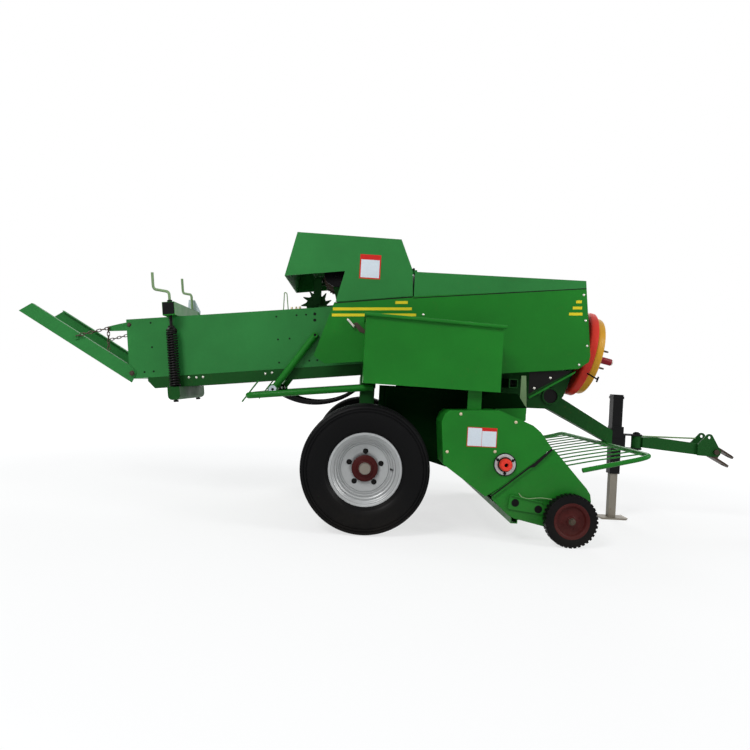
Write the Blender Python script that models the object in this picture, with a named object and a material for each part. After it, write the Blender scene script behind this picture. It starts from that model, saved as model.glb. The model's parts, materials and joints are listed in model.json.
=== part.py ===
"""Small square baler, towed, parked on its wheels, its pickup's gauge wheels and its drawbar jack.

Metres. +X is forward, +Y is the machine's left, +Z is up and the ground is z = 0. Sizes are written
from the main axle (x = 0); the empty "baler" then shifts the whole machine so that its origin lies
at the middle of its length. Every moving piece has its origin, or its parent empty, on its joint.
"""
import math

import bmesh
import bpy
from mathutils import Matrix, Vector

for leftover in list(bpy.data.objects):
    bpy.data.objects.remove(leftover, do_unlink=True)

# Clearances and sheet
FIT = 0.0003
SHEET = 0.004
PLATE = 0.008
RUNNING_GAP = 0.006

# Bale chamber, a rectangular tube that climbs towards the front
CHAMBER_TILT = math.radians(7)
CHAMBER_WIDTH = 0.50
CHAMBER_HEIGHT = 0.40
CHAMBER_WALL = 0.012
CHAMBER_LENGTH = 2.46
CHAMBER_FRONT = (0.84266, 1.11780)
CHAMBER_REAR = (CHAMBER_FRONT[0] - CHAMBER_LENGTH * math.cos(CHAMBER_TILT),
                CHAMBER_FRONT[1] - CHAMBER_LENGTH * math.sin(CHAMBER_TILT))
RAIL_HEIGHT = 0.075
RAIL_WIDTH = 0.05
RAIL_WALL = 0.006
RAIL_START = 0.12

# Running gear
WHEEL_RADIUS = 0.38
TYRE_WIDTH = 0.26
TRACK = 1.68
RIM_RADIUS = 0.194
RIM_FLANGE_RADIUS = 0.215
HUB_RADIUS = 0.078
SPINDLE_RADIUS = 0.03
WHEEL_SIDES = 24
AXLE_BEAM = 0.10
POST_Y = 0.43

# Outer sheet metal
BODY_HALF = 0.436
HOOD_HINGE = (0.257, 1.640)
HOOD_OUTLINE = [(-0.582, 1.547), (-0.514, 1.837), (0.167, 1.830), (0.2505, 1.633),
                (0.2605, 1.463), (-0.242, 1.397), (-0.191, 1.601)]
FRONT_HOOD_OUTLINE = [(0.2675, 1.4620), (0.267, 1.624), (1.400, 1.632), (1.405, 1.5804)]
SHIELD_TOP = [(-0.250, 1.393), (0.261, 1.4608), (1.405, 1.580)]
SHIELD_BOTTOM = [(1.453, 1.141), (1.445, 1.098), (1.378, 1.049), (0.884, 0.992), (0.34, 0.932),
                 (0.30, 1.056), (-0.291, 0.990), (-0.364, 1.040)]

# Twine box on the right side
TWINE_BOX_X = (-0.04, 0.77)
TWINE_BOX_Y = (-0.90, -0.4365)
TWINE_BOX_BOTTOM = 0.88
TWINE_BOX_TOP = (1.274, 1.246)
LID_LIFT = 0.012

# Flywheel line, nose down
DRIVE_TILT = math.radians(11.5)
DRIVE_CENTRE = (1.572, 1.162)
FLYWHEEL_RADIUS = 0.278
FLYWHEEL_WIDTH = 0.058
GUARD_RADIUS = 0.305
STUB_RADIUS = 0.0205
STUB_LENGTH = 0.20

# Drawbar, tongue and jack
BEAM_TILT = math.radians(27.6)
BEAM_FRONT = (1.800, 0.572)
BEAM_LENGTH = 0.57
BEAM_DEPTH = 0.120
BEAM_NOSE_DEPTH = 0.090
BEAM_HALF_WIDTH = 0.05
BRACKET_HALF = 0.15
JACK_X = 1.815
JACK_TUBE = 0.072
JACK_WALL = 0.0095
JACK_TOP = 0.895
JACK_BOTTOM = 0.325
JACK_LEG = 0.052
FOOT_SIZE = (0.20, 0.13, 0.012)
TONGUE_PIN = (JACK_X + 0.160, 0.560)
TONGUE_END = (JACK_X + 0.719, 0.521)
TONGUE_DEPTH = 0.085
TONGUE_HALF_WIDTH = 0.042
EAR_HALF = 0.060
CLEVIS_DROOP = math.radians(28)
CLEVIS_GAP = 0.058
CLEVIS_STRAP = 0.014
CLEVIS_REACH = 0.158

# Pickup: the auger line is also the pivot that the pickup lifts about
AUGER_CENTRE = (0.810, 0.453)
AUGER_RADIUS = 0.140
AUGER_SHAFT = 0.024
TROUGH_RADIUS = 0.160
FEEDER_HALF = 0.660
THROAT_HALF = 0.189
COVER_FACE = 0.932
SHEET_FACE = 0.915
REEL_CENTRE = (1.060, 0.240)
TINE_REACH = 0.170
BAND_RADIUS = 0.126
BAND_TAIL = (0.905, 0.112)
REEL_HALF = 0.790
TINE_COUNT = 16
TINE_BARS = 4
GAUGE_CENTRE = (1.199, 0.1535)
GAUGE_RADIUS = 0.1535
GAUGE_WIDTH = 0.066
GAUGE_FACE = 1.002
WINDGUARD_PIVOT = (1.745, 0.530)
WINDGUARD_BAR = (1.700, 0.541)
WINDGUARD_RODS = 12

# Tension gear, needle yoke, chute
TENSION_S = 0.128 * CHAMBER_LENGTH
TENSION_Y = 0.312
CHUTE_PIVOT = (CHAMBER_REAR[0] + 0.018, CHAMBER_REAR[1] + 0.039)
CHUTE_TILT = math.radians(29.6)
CHUTE_LENGTH = 0.863
YOKE_TOP = (-0.370, 1.181)
YOKE_FOOT = (-0.630, 0.815)

# The machine's reach, which centres it on its own length
REAR_REACH = CHUTE_PIVOT[0] - CHUTE_LENGTH * math.cos(CHUTE_TILT) - 0.057 * math.sin(CHUTE_TILT)
FRONT_REACH = TONGUE_END[0] + (CLEVIS_REACH * math.cos(CLEVIS_DROOP)
                               + (0.5 * CLEVIS_GAP + CLEVIS_STRAP) * math.sin(CLEVIS_DROOP))
SHIFT = -0.5 * (REAR_REACH + FRONT_REACH)


def paint(name, colour, roughness, metallic=0.0):
    """A Principled material in one plain colour."""
    made = bpy.data.materials.new(name)
    made.use_nodes = True
    shader = made.node_tree.nodes["Principled BSDF"]
    shader.inputs["Base Color"].default_value = (*colour, 1.0)
    shader.inputs["Roughness"].default_value = roughness
    shader.inputs["Metallic"].default_value = metallic
    return made


GREEN = paint("green_paint", (0.020, 0.155, 0.035), 0.45)
DEEP_GREEN = paint("deep_green_paint", (0.010, 0.085, 0.020), 0.5)
PALE_GREEN = paint("pale_green_paint", (0.20, 0.36, 0.20), 0.5)
BLACK = paint("black_paint", (0.012, 0.012, 0.014), 0.4)
DARK_STEEL = paint("dark_steel", (0.07, 0.055, 0.045), 0.5, 0.7)
RED = paint("red_paint", (0.62, 0.03, 0.025), 0.45)
MAROON = paint("maroon_paint", (0.13, 0.016, 0.014), 0.5)
YELLOW = paint("yellow_paint", (0.80, 0.42, 0.02), 0.45)
SILVER = paint("silver_paint", (0.60, 0.61, 0.62), 0.35, 0.6)
TYRE = paint("tyre_rubber", (0.012, 0.012, 0.012), 0.85)


def empty(name, location=(0, 0, 0), turn_y=0.0, parent=None):
    """A pivot or a tilted frame for the pieces on it."""
    made = bpy.data.objects.new(name, None)
    bpy.context.collection.objects.link(made)
    made.location = location
    made.rotation_euler = (0, turn_y, 0)
    made.parent = parent
    return made


def prism(outline, low, high, axis="Y"):
    """A flat outline carried from low to high along one axis."""
    place = {"X": lambda a, b, t: (t, a, b),
             "Y": lambda a, b, t: (a, t, b),
             "Z": lambda a, b, t: (a, b, t)}[axis]
    count = len(outline)
    points = [place(a, b, t) for t in (low, high) for a, b in outline]
    faces = [tuple(range(count)), tuple(range(2 * count - 1, count - 1, -1))]
    faces += [(i, i + count, (i + 1) % count + count, (i + 1) % count) for i in range(count)]
    return points, faces


def block(x, y, z):
    """A box between pairs of limits."""
    return prism([(x[0], z[0]), (x[1], z[0]), (x[1], z[1]), (x[0], z[1])], y[0], y[1], "Y")


def span(side, near, far):
    """The y limits of a piece on one side of the machine: side is -1 on the right, 1 on the left."""
    return sorted((side * near, side * far))


def circle(centre, radius, sides, start=0.0):
    """The corners of a regular outline."""
    return [(centre[0] + radius * math.cos(start + math.tau * i / sides),
             centre[1] + radius * math.sin(start + math.tau * i / sides)) for i in range(sides)]


def arc(centre, radius, first, last, steps):
    """Points on an arc, angles in degrees."""
    angles = [math.radians(first + (last - first) * i / steps) for i in range(steps + 1)]
    return [(centre[0] + radius * math.cos(a), centre[1] + radius * math.sin(a)) for a in angles]


def rod(centre, radius, low, high, sides=16, axis="Y"):
    """A round bar along one axis."""
    return prism(circle(centre, radius, sides), low, high, axis)


def bore(centre, radius, low, high, sides=16, axis="Y"):
    """A round cutter whose flats, not its corners, lie at the radius."""
    return rod(centre, radius / math.cos(math.pi / sides), low, high, sides, axis)


def turned(profile, sides, axis="Y", centre=(0.0, 0.0)):
    """A closed profile of (radius, position along the axis) turned round that axis."""
    place = {"X": lambda r, t, c, s: (t, centre[0] + r * c, centre[1] + r * s),
             "Y": lambda r, t, c, s: (centre[0] + r * c, t, centre[1] + r * s),
             "Z": lambda r, t, c, s: (centre[0] + r * c, centre[1] + r * s, t)}[axis]
    points = []
    rings = []
    for radius, along in profile:
        if radius < 1e-9:
            rings.append([len(points)] * sides)
            points.append(place(0.0, along, 1.0, 0.0))
            continue
        rings.append(list(range(len(points), len(points) + sides)))
        for i in range(sides):
            angle = math.tau * i / sides
            points.append(place(radius, along, math.cos(angle), math.sin(angle)))
    faces = []
    for k in range(len(rings)):
        one, two = rings[k], rings[(k + 1) % len(rings)]
        for i in range(sides):
            j = (i + 1) % sides
            corners = []
            for corner in (one[i], one[j], two[j], two[i]):
                if corner not in corners:
                    corners.append(corner)
            if len(corners) > 2:
                faces.append(tuple(corners))
    return points, faces


def swept(path, radii, sides=8, flat=1.0, side=(0.0, 1.0, 0.0)):
    """A round or oval bar along a path of 3D points. `side` is never along the path."""
    path = [Vector(p) for p in path]
    if not isinstance(radii, (list, tuple)):
        radii = [radii] * len(path)
    points = []
    for i, here in enumerate(path):
        before = (here - path[i - 1]).normalized() if i else None
        after = (path[i + 1] - here).normalized() if i + 1 < len(path) else None
        ahead = ((before or after) + (after or before)).normalized()
        stretch = 1.0 / max(0.5, ahead.dot(after or before))
        across = Vector(side)
        across = (across - ahead * across.dot(ahead)).normalized()
        up = ahead.cross(across)
        bend = (after - before) if before and after else Vector((0, 0, 0))
        across_gain = stretch if abs(bend.dot(across)) > abs(bend.dot(up)) else 1.0
        up_gain = stretch if bend.length > 1e-6 and across_gain == 1.0 else 1.0
        for k in range(sides):
            angle = math.tau * (k + 0.5) / sides
            points.append(tuple(here + across * (radii[i] * flat * across_gain * math.cos(angle))
                                + up * (radii[i] * up_gain * math.sin(angle))))
    last = len(path) - 1
    faces = [tuple(range(sides)), tuple(range((last + 1) * sides - 1, last * sides - 1, -1))]
    for i in range(last):
        for k in range(sides):
            n = (k + 1) % sides
            faces.append((i * sides + k, (i + 1) * sides + k, (i + 1) * sides + n, i * sides + n))
    return points, faces


def offset_outline(outline, steps):
    """The outline with each edge moved inwards by its own step. Corners stay sharp."""
    count = len(outline)
    area = sum(outline[i][0] * outline[(i + 1) % count][1]
               - outline[(i + 1) % count][0] * outline[i][1] for i in range(count))
    turn = 1.0 if area > 0 else -1.0
    lines = []
    for i in range(count):
        (ax, ay), (bx, by) = outline[i], outline[(i + 1) % count]
        length = math.hypot(bx - ax, by - ay)
        nx, ny = -(by - ay) / length * turn, (bx - ax) / length * turn
        lines.append((ax + nx * steps[i], ay + ny * steps[i], bx - ax, by - ay))
    corners = []
    for i in range(count):
        px, py, dx, dy = lines[i - 1]
        qx, qy, ex, ey = lines[i]
        cross = dx * ey - dy * ex
        t = ((qx - px) * ey - (qy - py) * ex) / cross
        corners.append((px + dx * t, py + dy * t))
    return corners


def strip(path, thickness):
    """The closed outline of a bent sheet: the path and the same path set off to its left."""
    shifted = []
    for i, (x, y) in enumerate(path):
        before = Vector(path[i]) - Vector(path[i - 1]) if i else None
        after = Vector(path[i + 1]) - Vector(path[i]) if i + 1 < len(path) else None
        one = (before or after).normalized()
        two = (after or before).normalized()
        left = (Vector((-one.y, one.x)) + Vector((-two.y, two.x))).normalized()
        reach = thickness / max(0.3, left.dot(Vector((-one.y, one.x))))
        shifted.append((x + left.x * reach, y + left.y * reach))
    return list(path) + shifted[::-1]


def mesh_object(name, shape, parent):
    """An object from points and faces, with its faces turned outwards."""
    points, faces = shape
    mesh = bpy.data.meshes.new(name)
    mesh.from_pydata(points, [], faces)
    work = bmesh.new()
    work.from_mesh(mesh)
    bmesh.ops.remove_doubles(work, verts=work.verts, dist=1e-6)
    bmesh.ops.recalc_face_normals(work, faces=work.faces)
    work.to_mesh(mesh)
    work.free()
    made = bpy.data.objects.new(name, mesh)
    bpy.context.collection.objects.link(made)
    made.parent = parent
    return made


def piece(name, material, shapes, cuts=(), parent=None, smooth=False):
    """One sub-part: the shapes joined to one body, less the cuts."""
    made = mesh_object(name, shapes[0], parent)
    made.data.materials.append(material)
    if smooth:
        made.data.shade_smooth()
        made.data.set_sharp_from_angle(angle=math.radians(35))
    jobs = [("UNION", shape) for shape in shapes[1:]] + [("DIFFERENCE", cut) for cut in cuts]
    for number, (operation, shape) in enumerate(jobs):
        helper = mesh_object(f"{name}_{operation.lower()}_{number}", shape, parent)
        helper.hide_render = True
        helper.display_type = "WIRE"
        step = made.modifiers.new(f"{operation.lower()}_{number}", "BOOLEAN")
        step.operation = operation
        step.solver = "EXACT"
        step.object = helper
    return made


def joined(shapes):
    """Several shapes that don't touch, as one list of points and faces."""
    points = []
    faces = []
    for some_points, some_faces in shapes:
        start = len(points)
        points += some_points
        faces += [tuple(index + start for index in face) for face in some_faces]
    return points, faces


def moved(shape, x=0.0, y=0.0, z=0.0, turn_y=0.0):
    """A shape turned about Y, then shifted."""
    change = Matrix.Translation((x, y, z)) @ Matrix.Rotation(turn_y, 4, "Y")
    return [tuple(change @ Vector(p)) for p in shape[0]], shape[1]


def mirrored(shape):
    """A shape on the machine's other side."""
    return [(x, -y, z) for x, y, z in shape[0]], shape[1]


def both(name, material, shapes, cuts=(), parent=None, smooth=False):
    """The right piece as drawn (y < 0), and its mirror on the left."""
    piece(name + "_right", material, shapes, cuts, parent, smooth)
    piece(name + "_left", material, [mirrored(s) for s in shapes],
          [mirrored(c) for c in cuts], parent, smooth)


baler = empty("baler", (SHIFT, 0, 0))
chamber_frame = empty("chamber_frame", (CHAMBER_REAR[0], 0, CHAMBER_REAR[1]), -CHAMBER_TILT, baler)


def chamber_to_machine(s, h):
    """A place along (s) and above (h) the chamber's floor line, as x and z from the axle."""
    return (CHAMBER_REAR[0] + s * math.cos(CHAMBER_TILT) - h * math.sin(CHAMBER_TILT),
            CHAMBER_REAR[1] + s * math.sin(CHAMBER_TILT) + h * math.cos(CHAMBER_TILT))


def chamber_s(x, h=0.0):
    """How far along the chamber a machine x lies, at height h above the floor line."""
    return (x - CHAMBER_REAR[0] + h * math.sin(CHAMBER_TILT)) / math.cos(CHAMBER_TILT)


# Bale chamber: open at its rear mouth, slotted for star wheel, needles and feed
METER_CENTRE = (chamber_s(-0.391, CHAMBER_HEIGHT + 0.045), CHAMBER_HEIGHT + 0.045)
METER_RADIUS = 0.112
METER_THICKNESS = 0.010
NEEDLE_Y = 0.115
NEEDLE_SLOT = (CHAMBER_LENGTH - 1.16, CHAMBER_LENGTH - 0.84)
KNOTTER_SLOT = (CHAMBER_LENGTH - 1.10, CHAMBER_LENGTH - 0.86)
FEED_OPENING = (CHAMBER_LENGTH - 0.60, CHAMBER_LENGTH - 0.16)


def bale_chamber():
    half = 0.5 * CHAMBER_WIDTH
    wall = CHAMBER_WALL
    outer = block((0, CHAMBER_LENGTH), (-half, half), (0, CHAMBER_HEIGHT))
    lugs = [prism([(0.06, 0.388), (-0.045, 0.374), (-0.127, 0.360), (-0.127, 0.330), (0.06, 0.322)],
                  *span(side, half, half - PLATE)) for side in (-1, 1)]
    cuts = [block((-0.2, CHAMBER_LENGTH + 0.1), (wall - half, half - wall),
                  (wall, CHAMBER_HEIGHT - wall))]
    slot = METER_THICKNESS / 2 + RUNNING_GAP
    reach = METER_RADIUS + 0.02
    cuts.append(block((METER_CENTRE[0] - reach, METER_CENTRE[0] + reach), (-slot, slot),
                      (CHAMBER_HEIGHT - 2 * wall, CHAMBER_HEIGHT + 0.05)))
    for side in (-1, 1):
        middle = side * NEEDLE_Y
        cuts.append(block(NEEDLE_SLOT, (middle - 0.018, middle + 0.018), (-0.05, 2 * wall)))
        cuts.append(block(KNOTTER_SLOT, (middle - 0.018, middle + 0.018),
                          (CHAMBER_HEIGHT - 2 * wall, CHAMBER_HEIGHT + 0.05)))
        cuts.append(block((0.42, 0.92), span(side, 0.06, 0.20),
                          (CHAMBER_HEIGHT - 2 * wall, CHAMBER_HEIGHT + 0.05)))
    cuts.append(block(FEED_OPENING, (-0.17, 0.17), (-0.05, 2 * wall)))
    piece("bale_chamber", GREEN, [outer] + lugs, cuts, chamber_frame)


def chamber_rails():
    outer = 0.5 * CHAMBER_WIDTH
    inner = outer - RAIL_WIDTH
    top = -FIT
    bottom = top - RAIL_HEIGHT
    outline = [(-outer, bottom), (-inner, bottom), (-inner, bottom + RAIL_WALL),
               (-outer + RAIL_WALL, bottom + RAIL_WALL), (-outer + RAIL_WALL, top - RAIL_WALL),
               (-inner, top - RAIL_WALL), (-inner, top), (-outer, top)]
    channel = prism(outline, RAIL_START, CHAMBER_LENGTH + 0.04, "X")
    slant = prism([(RAIL_START - 0.05, bottom - 0.02), (RAIL_START + 0.06, bottom - 0.02),
                   (RAIL_START - 0.02, top + 0.001), (RAIL_START - 0.05, top + 0.001)],
                  -outer - 0.02, -inner + 0.02)
    both("chamber_rail", GREEN, [channel], [slant], chamber_frame)


def tension_gear():
    bar_top = CHAMBER_HEIGHT + 0.088
    low = CHAMBER_HEIGHT + FIT
    s0, s1 = TENSION_S - 0.040, TENSION_S + 0.040
    end = TENSION_Y + 0.045
    hole = 0.0125
    wall = 0.006
    top_channel = block((s0, s1), (-end, end), (low, bar_top))
    hollow = block((s0 + wall, s1 - wall), (-end - 0.01, end + 0.01), (low + wall, bar_top - wall))
    piece("tension_bar_top", GREEN, [top_channel],
          [hollow] + [rod((TENSION_S, side * TENSION_Y), hole, low - 0.01, bar_top + 0.01, 12, "Z")
                      for side in (-1, 1)], chamber_frame)
    under = -RAIL_HEIGHT - 2 * FIT
    cup = [(s0, under)] + arc((s0 + 0.03, under - 0.055), 0.03, 180, 270, 4) \
        + arc((s1 - 0.03, under - 0.055), 0.03, 270, 360, 4) + [(s1, under)]
    trough = offset_outline(cup, [wall] * (len(cup) - 1) + [-0.02])
    piece("tension_bar_bottom", GREEN, [prism(cup, -end, end),
                                        block((s0 + 0.002, s1 - 0.002), (-end, -end + 0.09),
                                              (under - wall, under)),
                                        block((s0 + 0.002, s1 - 0.002), (end - 0.09, end),
                                              (under - wall, under))],
          [prism(trough, -end + 0.1, end - 0.1)]
          + [rod((TENSION_S, side * TENSION_Y), hole, under - 0.2, under + 0.05, 12, "Z")
             for side in (-1, 1)], chamber_frame)
    spring_low, spring_high = under + FIT, 0.300
    wire, turns, steps = 0.0066, 8, 8
    coil = 0.0315
    screw = 0.0095
    for side, name, swing in ((-1, "right", 180), (1, "left", 140)):
        y = side * TENSION_Y
        count = turns * steps
        path = [(TENSION_S + coil * math.cos(math.tau * i / steps),
                 y + coil * math.sin(math.tau * i / steps),
                 spring_low + wire + (spring_high - spring_low - 2 * wire) * i / count)
                for i in range(count + 1)]
        piece(f"tension_spring_{name}", BLACK, [swept(path, wire, 5, 1.0, (0, 0, 1))], (),
              chamber_frame, True)
        lean = math.radians(swing)
        arm = (0.10 * math.cos(lean), 0.10 * math.sin(lean))
        crank = swept([(TENSION_S, y, under - 0.098), (TENSION_S, y, 0.53), (TENSION_S, y, 0.555),
                       (TENSION_S + 0.1 * arm[0], y + 0.1 * arm[1], 0.565),
                       (TENSION_S + arm[0], y + arm[1], 0.580),
                       (TENSION_S + 1.03 * arm[0], y + 1.03 * arm[1], 0.695)], screw, 8, 1.0,
                      (math.sin(lean), -math.cos(lean), 0))
        cap = turned([(0.0, spring_high + FIT), (0.036, spring_high + FIT), (0.036, 0.307),
                      (0.026, 0.318), (0.0, 0.318)], 10, "Z", (TENSION_S, y))
        nut = rod((TENSION_S, y), 0.017, bar_top + FIT, bar_top + 0.016, 6, "Z")
        low_nut = rod((TENSION_S, y), 0.017, under - 0.100, under - 0.085 - FIT - 0.001, 6, "Z")
        piece(f"tension_crank_{name}", PALE_GREEN, [crank, cap, nut, low_nut], (), chamber_frame)


def meter_wheel():
    teeth = 11
    outline = []
    for i in range(teeth):
        base = math.tau * i / teeth
        for radius, part in ((0.076, 0.0), (METER_RADIUS, 0.42), (METER_RADIUS - 0.004, 0.50),
                             (0.072, 0.62)):
            angle = base + math.tau / teeth * part
            outline.append((radius * math.cos(angle), radius * math.sin(angle)))
    pivot = empty("meter_pivot", (METER_CENTRE[0], 0, METER_CENTRE[1]), 0.0, chamber_frame)
    half = METER_THICKNESS / 2
    piece("meter_wheel", DEEP_GREEN, [prism(outline, -half, half), rod((0, 0), 0.022, -0.018, 0.018)],
          [rod((0, 0), 0.0105, -0.03, 0.03, 12)], pivot)
    s, h = METER_CENTRE
    arm = [(s - 0.028, h - 0.024), (s + 0.028, h - 0.024), (s + 0.052, h + 0.20), (s - 0.002, h + 0.20)]
    arms = [prism(arm, *span(side, 0.0185, 0.0245)) for side in (-1, 1)]
    axle = rod((s, h), 0.010, -0.030, 0.030, 12)
    reach = KNOTTER_PLATE_Y - FIT
    bridge = block((s + 0.005, s + 0.050), (-reach, reach), (h + 0.185, h + 0.203))
    piece("meter_arm", DEEP_GREEN, [arms[0], arms[1], axle, bridge], (), chamber_frame)


KNOTTER_SHAFT = (METER_CENTRE[0] + 0.165, METER_CENTRE[1] + 0.17)
KNOTTER_PLATE_Y = 0.222


def knotters():
    s, h = KNOTTER_SHAFT
    top = CHAMBER_HEIGHT + FIT
    plate = [(s - 0.14, top), (s + 0.16, top), (s + 0.09, h + 0.04), (s - 0.13, h + 0.06)]
    inner, outer = KNOTTER_PLATE_Y, KNOTTER_PLATE_Y + PLATE
    shapes = [prism(plate, *span(side, inner, outer)) for side in (-1, 1)]
    shapes.append(block((s - 0.135, s + 0.155), (-KNOTTER_PLATE_Y - 0.007, KNOTTER_PLATE_Y + 0.007),
                        (top + 0.0002, top + 0.010)))
    shapes.append(block((s + 0.100, s + 0.118), (-KNOTTER_PLATE_Y - 0.003, KNOTTER_PLATE_Y + 0.003),
                        (h - 0.075, h - 0.055)))
    slot = METER_THICKNESS / 2 + RUNNING_GAP
    cuts = [block((s - 0.2, METER_CENTRE[0] + METER_RADIUS + 0.02), (-slot, slot),
                  (top - 0.1, top + 0.05))]
    cuts += [block(KNOTTER_SLOT, (side * NEEDLE_Y - 0.018, side * NEEDLE_Y + 0.018),
                   (top - 0.1, top + 0.05)) for side in (-1, 1)]
    cuts.append(rod((s, h), 0.0163, -0.3, 0.3, 16))
    piece("knotter_frame", DEEP_GREEN, shapes, cuts, chamber_frame)
    shapes = [rod((s, h), 0.016, -0.27, 0.27, 12)]
    for side in (-1, 1):
        y = side * NEEDLE_Y
        shapes.append(turned([(0.0, y - 0.012), (0.098, y - 0.012), (0.098, y + 0.004), (0.055, y + 0.012),
                              (0.0, y + 0.012)], 16, "Y", (s, h)))
        shapes.append(block((s + 0.01, s + 0.075), (y - 0.040, y - 0.008), (h - 0.125, h - 0.02)))
        shapes.append(rod((s + 0.045, y - 0.030), 0.012, h - 0.155, h - 0.10, 8, "Z"))
    shapes.append(turned([(0.0, -0.262), (0.085, -0.262), (0.085, -0.246), (0.03, -0.238), (0.0, -0.238)],
                         12, "Y", (s, h)))
    piece("knotter_shaft", BLACK, shapes, (), chamber_frame)


bale_chamber()
chamber_rails()
tension_gear()
meter_wheel()
knotters()


def axle_frame():
    """Cross beam, wheel spindles, two posts and the cross member under the chamber rails."""
    half = 0.5 * AXLE_BEAM
    inner_face = TRACK / 2 - TYRE_WIDTH / 2
    beam = block((-half, half), (-inner_face + 0.03, inner_face - 0.03),
                 (WHEEL_RADIUS - half, WHEEL_RADIUS + half))
    spindle = rod((0, WHEEL_RADIUS), SPINDLE_RADIUS, -TRACK / 2 - 0.045, TRACK / 2 + 0.045, 16)
    under = -RAIL_HEIGHT - 2 * FIT

    def rail_floor(x):
        return chamber_to_machine(chamber_s(x, under), under)[1]

    rail_z = rail_floor(-half) - 0.010
    shapes = [beam, spindle]
    for side in (-1, 1):
        y = span(side, POST_Y - 0.012, POST_Y + 0.0)
        shapes.append(prism([(-0.045, WHEEL_RADIUS + 0.02), (0.045, WHEEL_RADIUS + 0.02),
                             (0.045, rail_z - 0.01), (-0.045, rail_z - 0.01)], *y))
        shapes.append(block((-0.04, -0.028), span(side, POST_Y - 0.10, POST_Y - 0.002),
                            (WHEEL_RADIUS + 0.01, rail_z - 0.02)))
        pad = half - 0.002
        shapes.append(prism([(-pad, rail_z - 0.02), (pad, rail_z - 0.02), (pad, rail_floor(pad)),
                             (-pad, rail_floor(-pad))], *span(side, 0.205, 0.245)))
    shapes.append(block((-half, half), (-POST_Y, POST_Y), (rail_z - 0.075, rail_z)))
    piece("axle_frame", DEEP_GREEN, shapes, (), baler)


def main_wheels():
    """Ribbed implement tyres on dished rims with five studs."""
    w = TYRE_WIDTH / 2
    rib_edges = (-0.105, -0.066, -0.022, 0.022, 0.066, 0.105)
    tread = []
    for low, high in zip(rib_edges, rib_edges[1:]):
        edge = 0.004 if abs(low + high) > 0.1 else 0.0
        tread += [(WHEEL_RADIUS - edge, low + 0.004), (WHEEL_RADIUS - edge, high - 0.004),
                  (WHEEL_RADIUS - 0.012, high)]
    left = [(RIM_RADIUS + FIT, -0.077), (0.2165, -0.096), (0.250, -0.121), (0.300, -w), (0.350, -0.120)]
    right = [(r, -t) for r, t in left[::-1]]
    section = left + tread[:-1] + right
    rim_section = [(RIM_FLANGE_RADIUS - 0.010, -0.0995), (RIM_FLANGE_RADIUS, -0.0965),
                   (RIM_RADIUS, -0.078), (RIM_RADIUS, 0.078), (RIM_FLANGE_RADIUS, 0.0965),
                   (RIM_FLANGE_RADIUS - 0.010, 0.0995), (0.178, 0.070), (0.172, 0.014),
                   (0.140, 0.002), (0.062, 0.002), (0.062, -0.008), (0.140, -0.008),
                   (0.172, -0.008), (0.178, -0.070)]
    for side, name in ((-1, "right"), (1, "left")):
        hub = empty(f"wheel_hub_{name}", (0, side * TRACK / 2, WHEEL_RADIUS), 0.0, baler)
        piece(f"tyre_{name}", TYRE, [turned(section, WHEEL_SIDES)], (), hub, True)
        studs = circle((0, 0), 0.099, 5, math.radians(90))
        rim = turned([(r, t * side) for r, t in rim_section], WHEEL_SIDES)
        bolts = joined([rod(stud, 0.0105, *span(side, 0.0, 0.018), 6) for stud in studs])
        piece(f"rim_{name}", SILVER, [rim, bolts], (), hub, True)
        sides = 16
        bearing = (SPINDLE_RADIUS + FIT) / math.cos(math.pi / sides)
        face = [(bearing, -0.075), (0.055, -0.075), (0.061, -0.060), (0.0615, 0.012),
                (HUB_RADIUS, 0.013), (HUB_RADIUS, 0.030), (0.045, 0.042), (0.036, 0.046),
                (0.034, 0.062), (0.0, 0.064), (0.0, 0.050), (bearing, 0.050)]
        piece(f"hub_{name}", MAROON, [turned([(r, t * side) for r, t in face], sides)], (), hub, True)


def drive_line():
    """Gearbox block, fixed guard ring, flywheel with its stub shaft."""
    line = empty("drive_line", (DRIVE_CENTRE[0], 0, DRIVE_CENTRE[1]), DRIVE_TILT, baler)
    w = FLYWHEEL_WIDTH / 2
    back = -w - 0.062
    r = FLYWHEEL_RADIUS
    section = [(0.0, -w - 0.020), (0.055, -w - 0.020), (0.055, -0.010), (r - 0.045, -0.010),
               (r - 0.040, -w), (r - 0.006, -w), (r, -w + 0.006), (r, w - 0.014), (r - 0.014, w),
               (r - 0.040, w), (r - 0.045, 0.010), (0.055, 0.010), (0.055, w + 0.012),
               (STUB_RADIUS + 0.008, w + 0.016), (STUB_RADIUS, w + 0.030), (STUB_RADIUS, STUB_LENGTH),
               (0.0, STUB_LENGTH)]
    holes = joined([rod(c, 0.045, -0.05, 0.05, 8, "X") for c in circle((0, 0), 0.145, 5, 0.3)])
    piece("flywheel", YELLOW, [turned(section, 24, "X")], [holes], line, True)
    guard = [(0.11, back - 0.006), (GUARD_RADIUS - 0.02, back - 0.006), (GUARD_RADIUS, back + 0.012),
             (GUARD_RADIUS, -w - RUNNING_GAP), (GUARD_RADIUS - 0.010, -w - RUNNING_GAP),
             (GUARD_RADIUS - 0.010, back + 0.012), (GUARD_RADIUS - 0.022, back), (0.11, back)]
    piece("flywheel_guard", RED, [turned(guard, 26, "X")], (), line, True)
    neck = turned([(0.0, -0.20), (0.105, -0.20), (0.105, back + 0.004), (0.080, back + 0.012),
                   (0.075, -w - 0.020 - FIT), (0.0, -w - 0.020 - FIT)], 20, "X")
    collar = turned([(0.10, back - 0.022), (0.17, back - 0.022), (0.17, back - 0.006 - FIT),
                     (0.10, back - 0.006 - FIT)], 20, "X")
    body = block((-0.56, -0.19), (-0.155, 0.155), (-0.16, 0.17))
    cover = prism([(-0.56, 0.165), (-0.19, 0.165), (-0.25, 0.235), (-0.50, 0.235)], -0.12, 0.12)
    cross = rod((-0.40, 0.0), 0.085, -0.20, 0.20, 16)
    piece("gearbox", DEEP_GREEN, [body, neck, collar, cover, cross], (), line)


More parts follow.
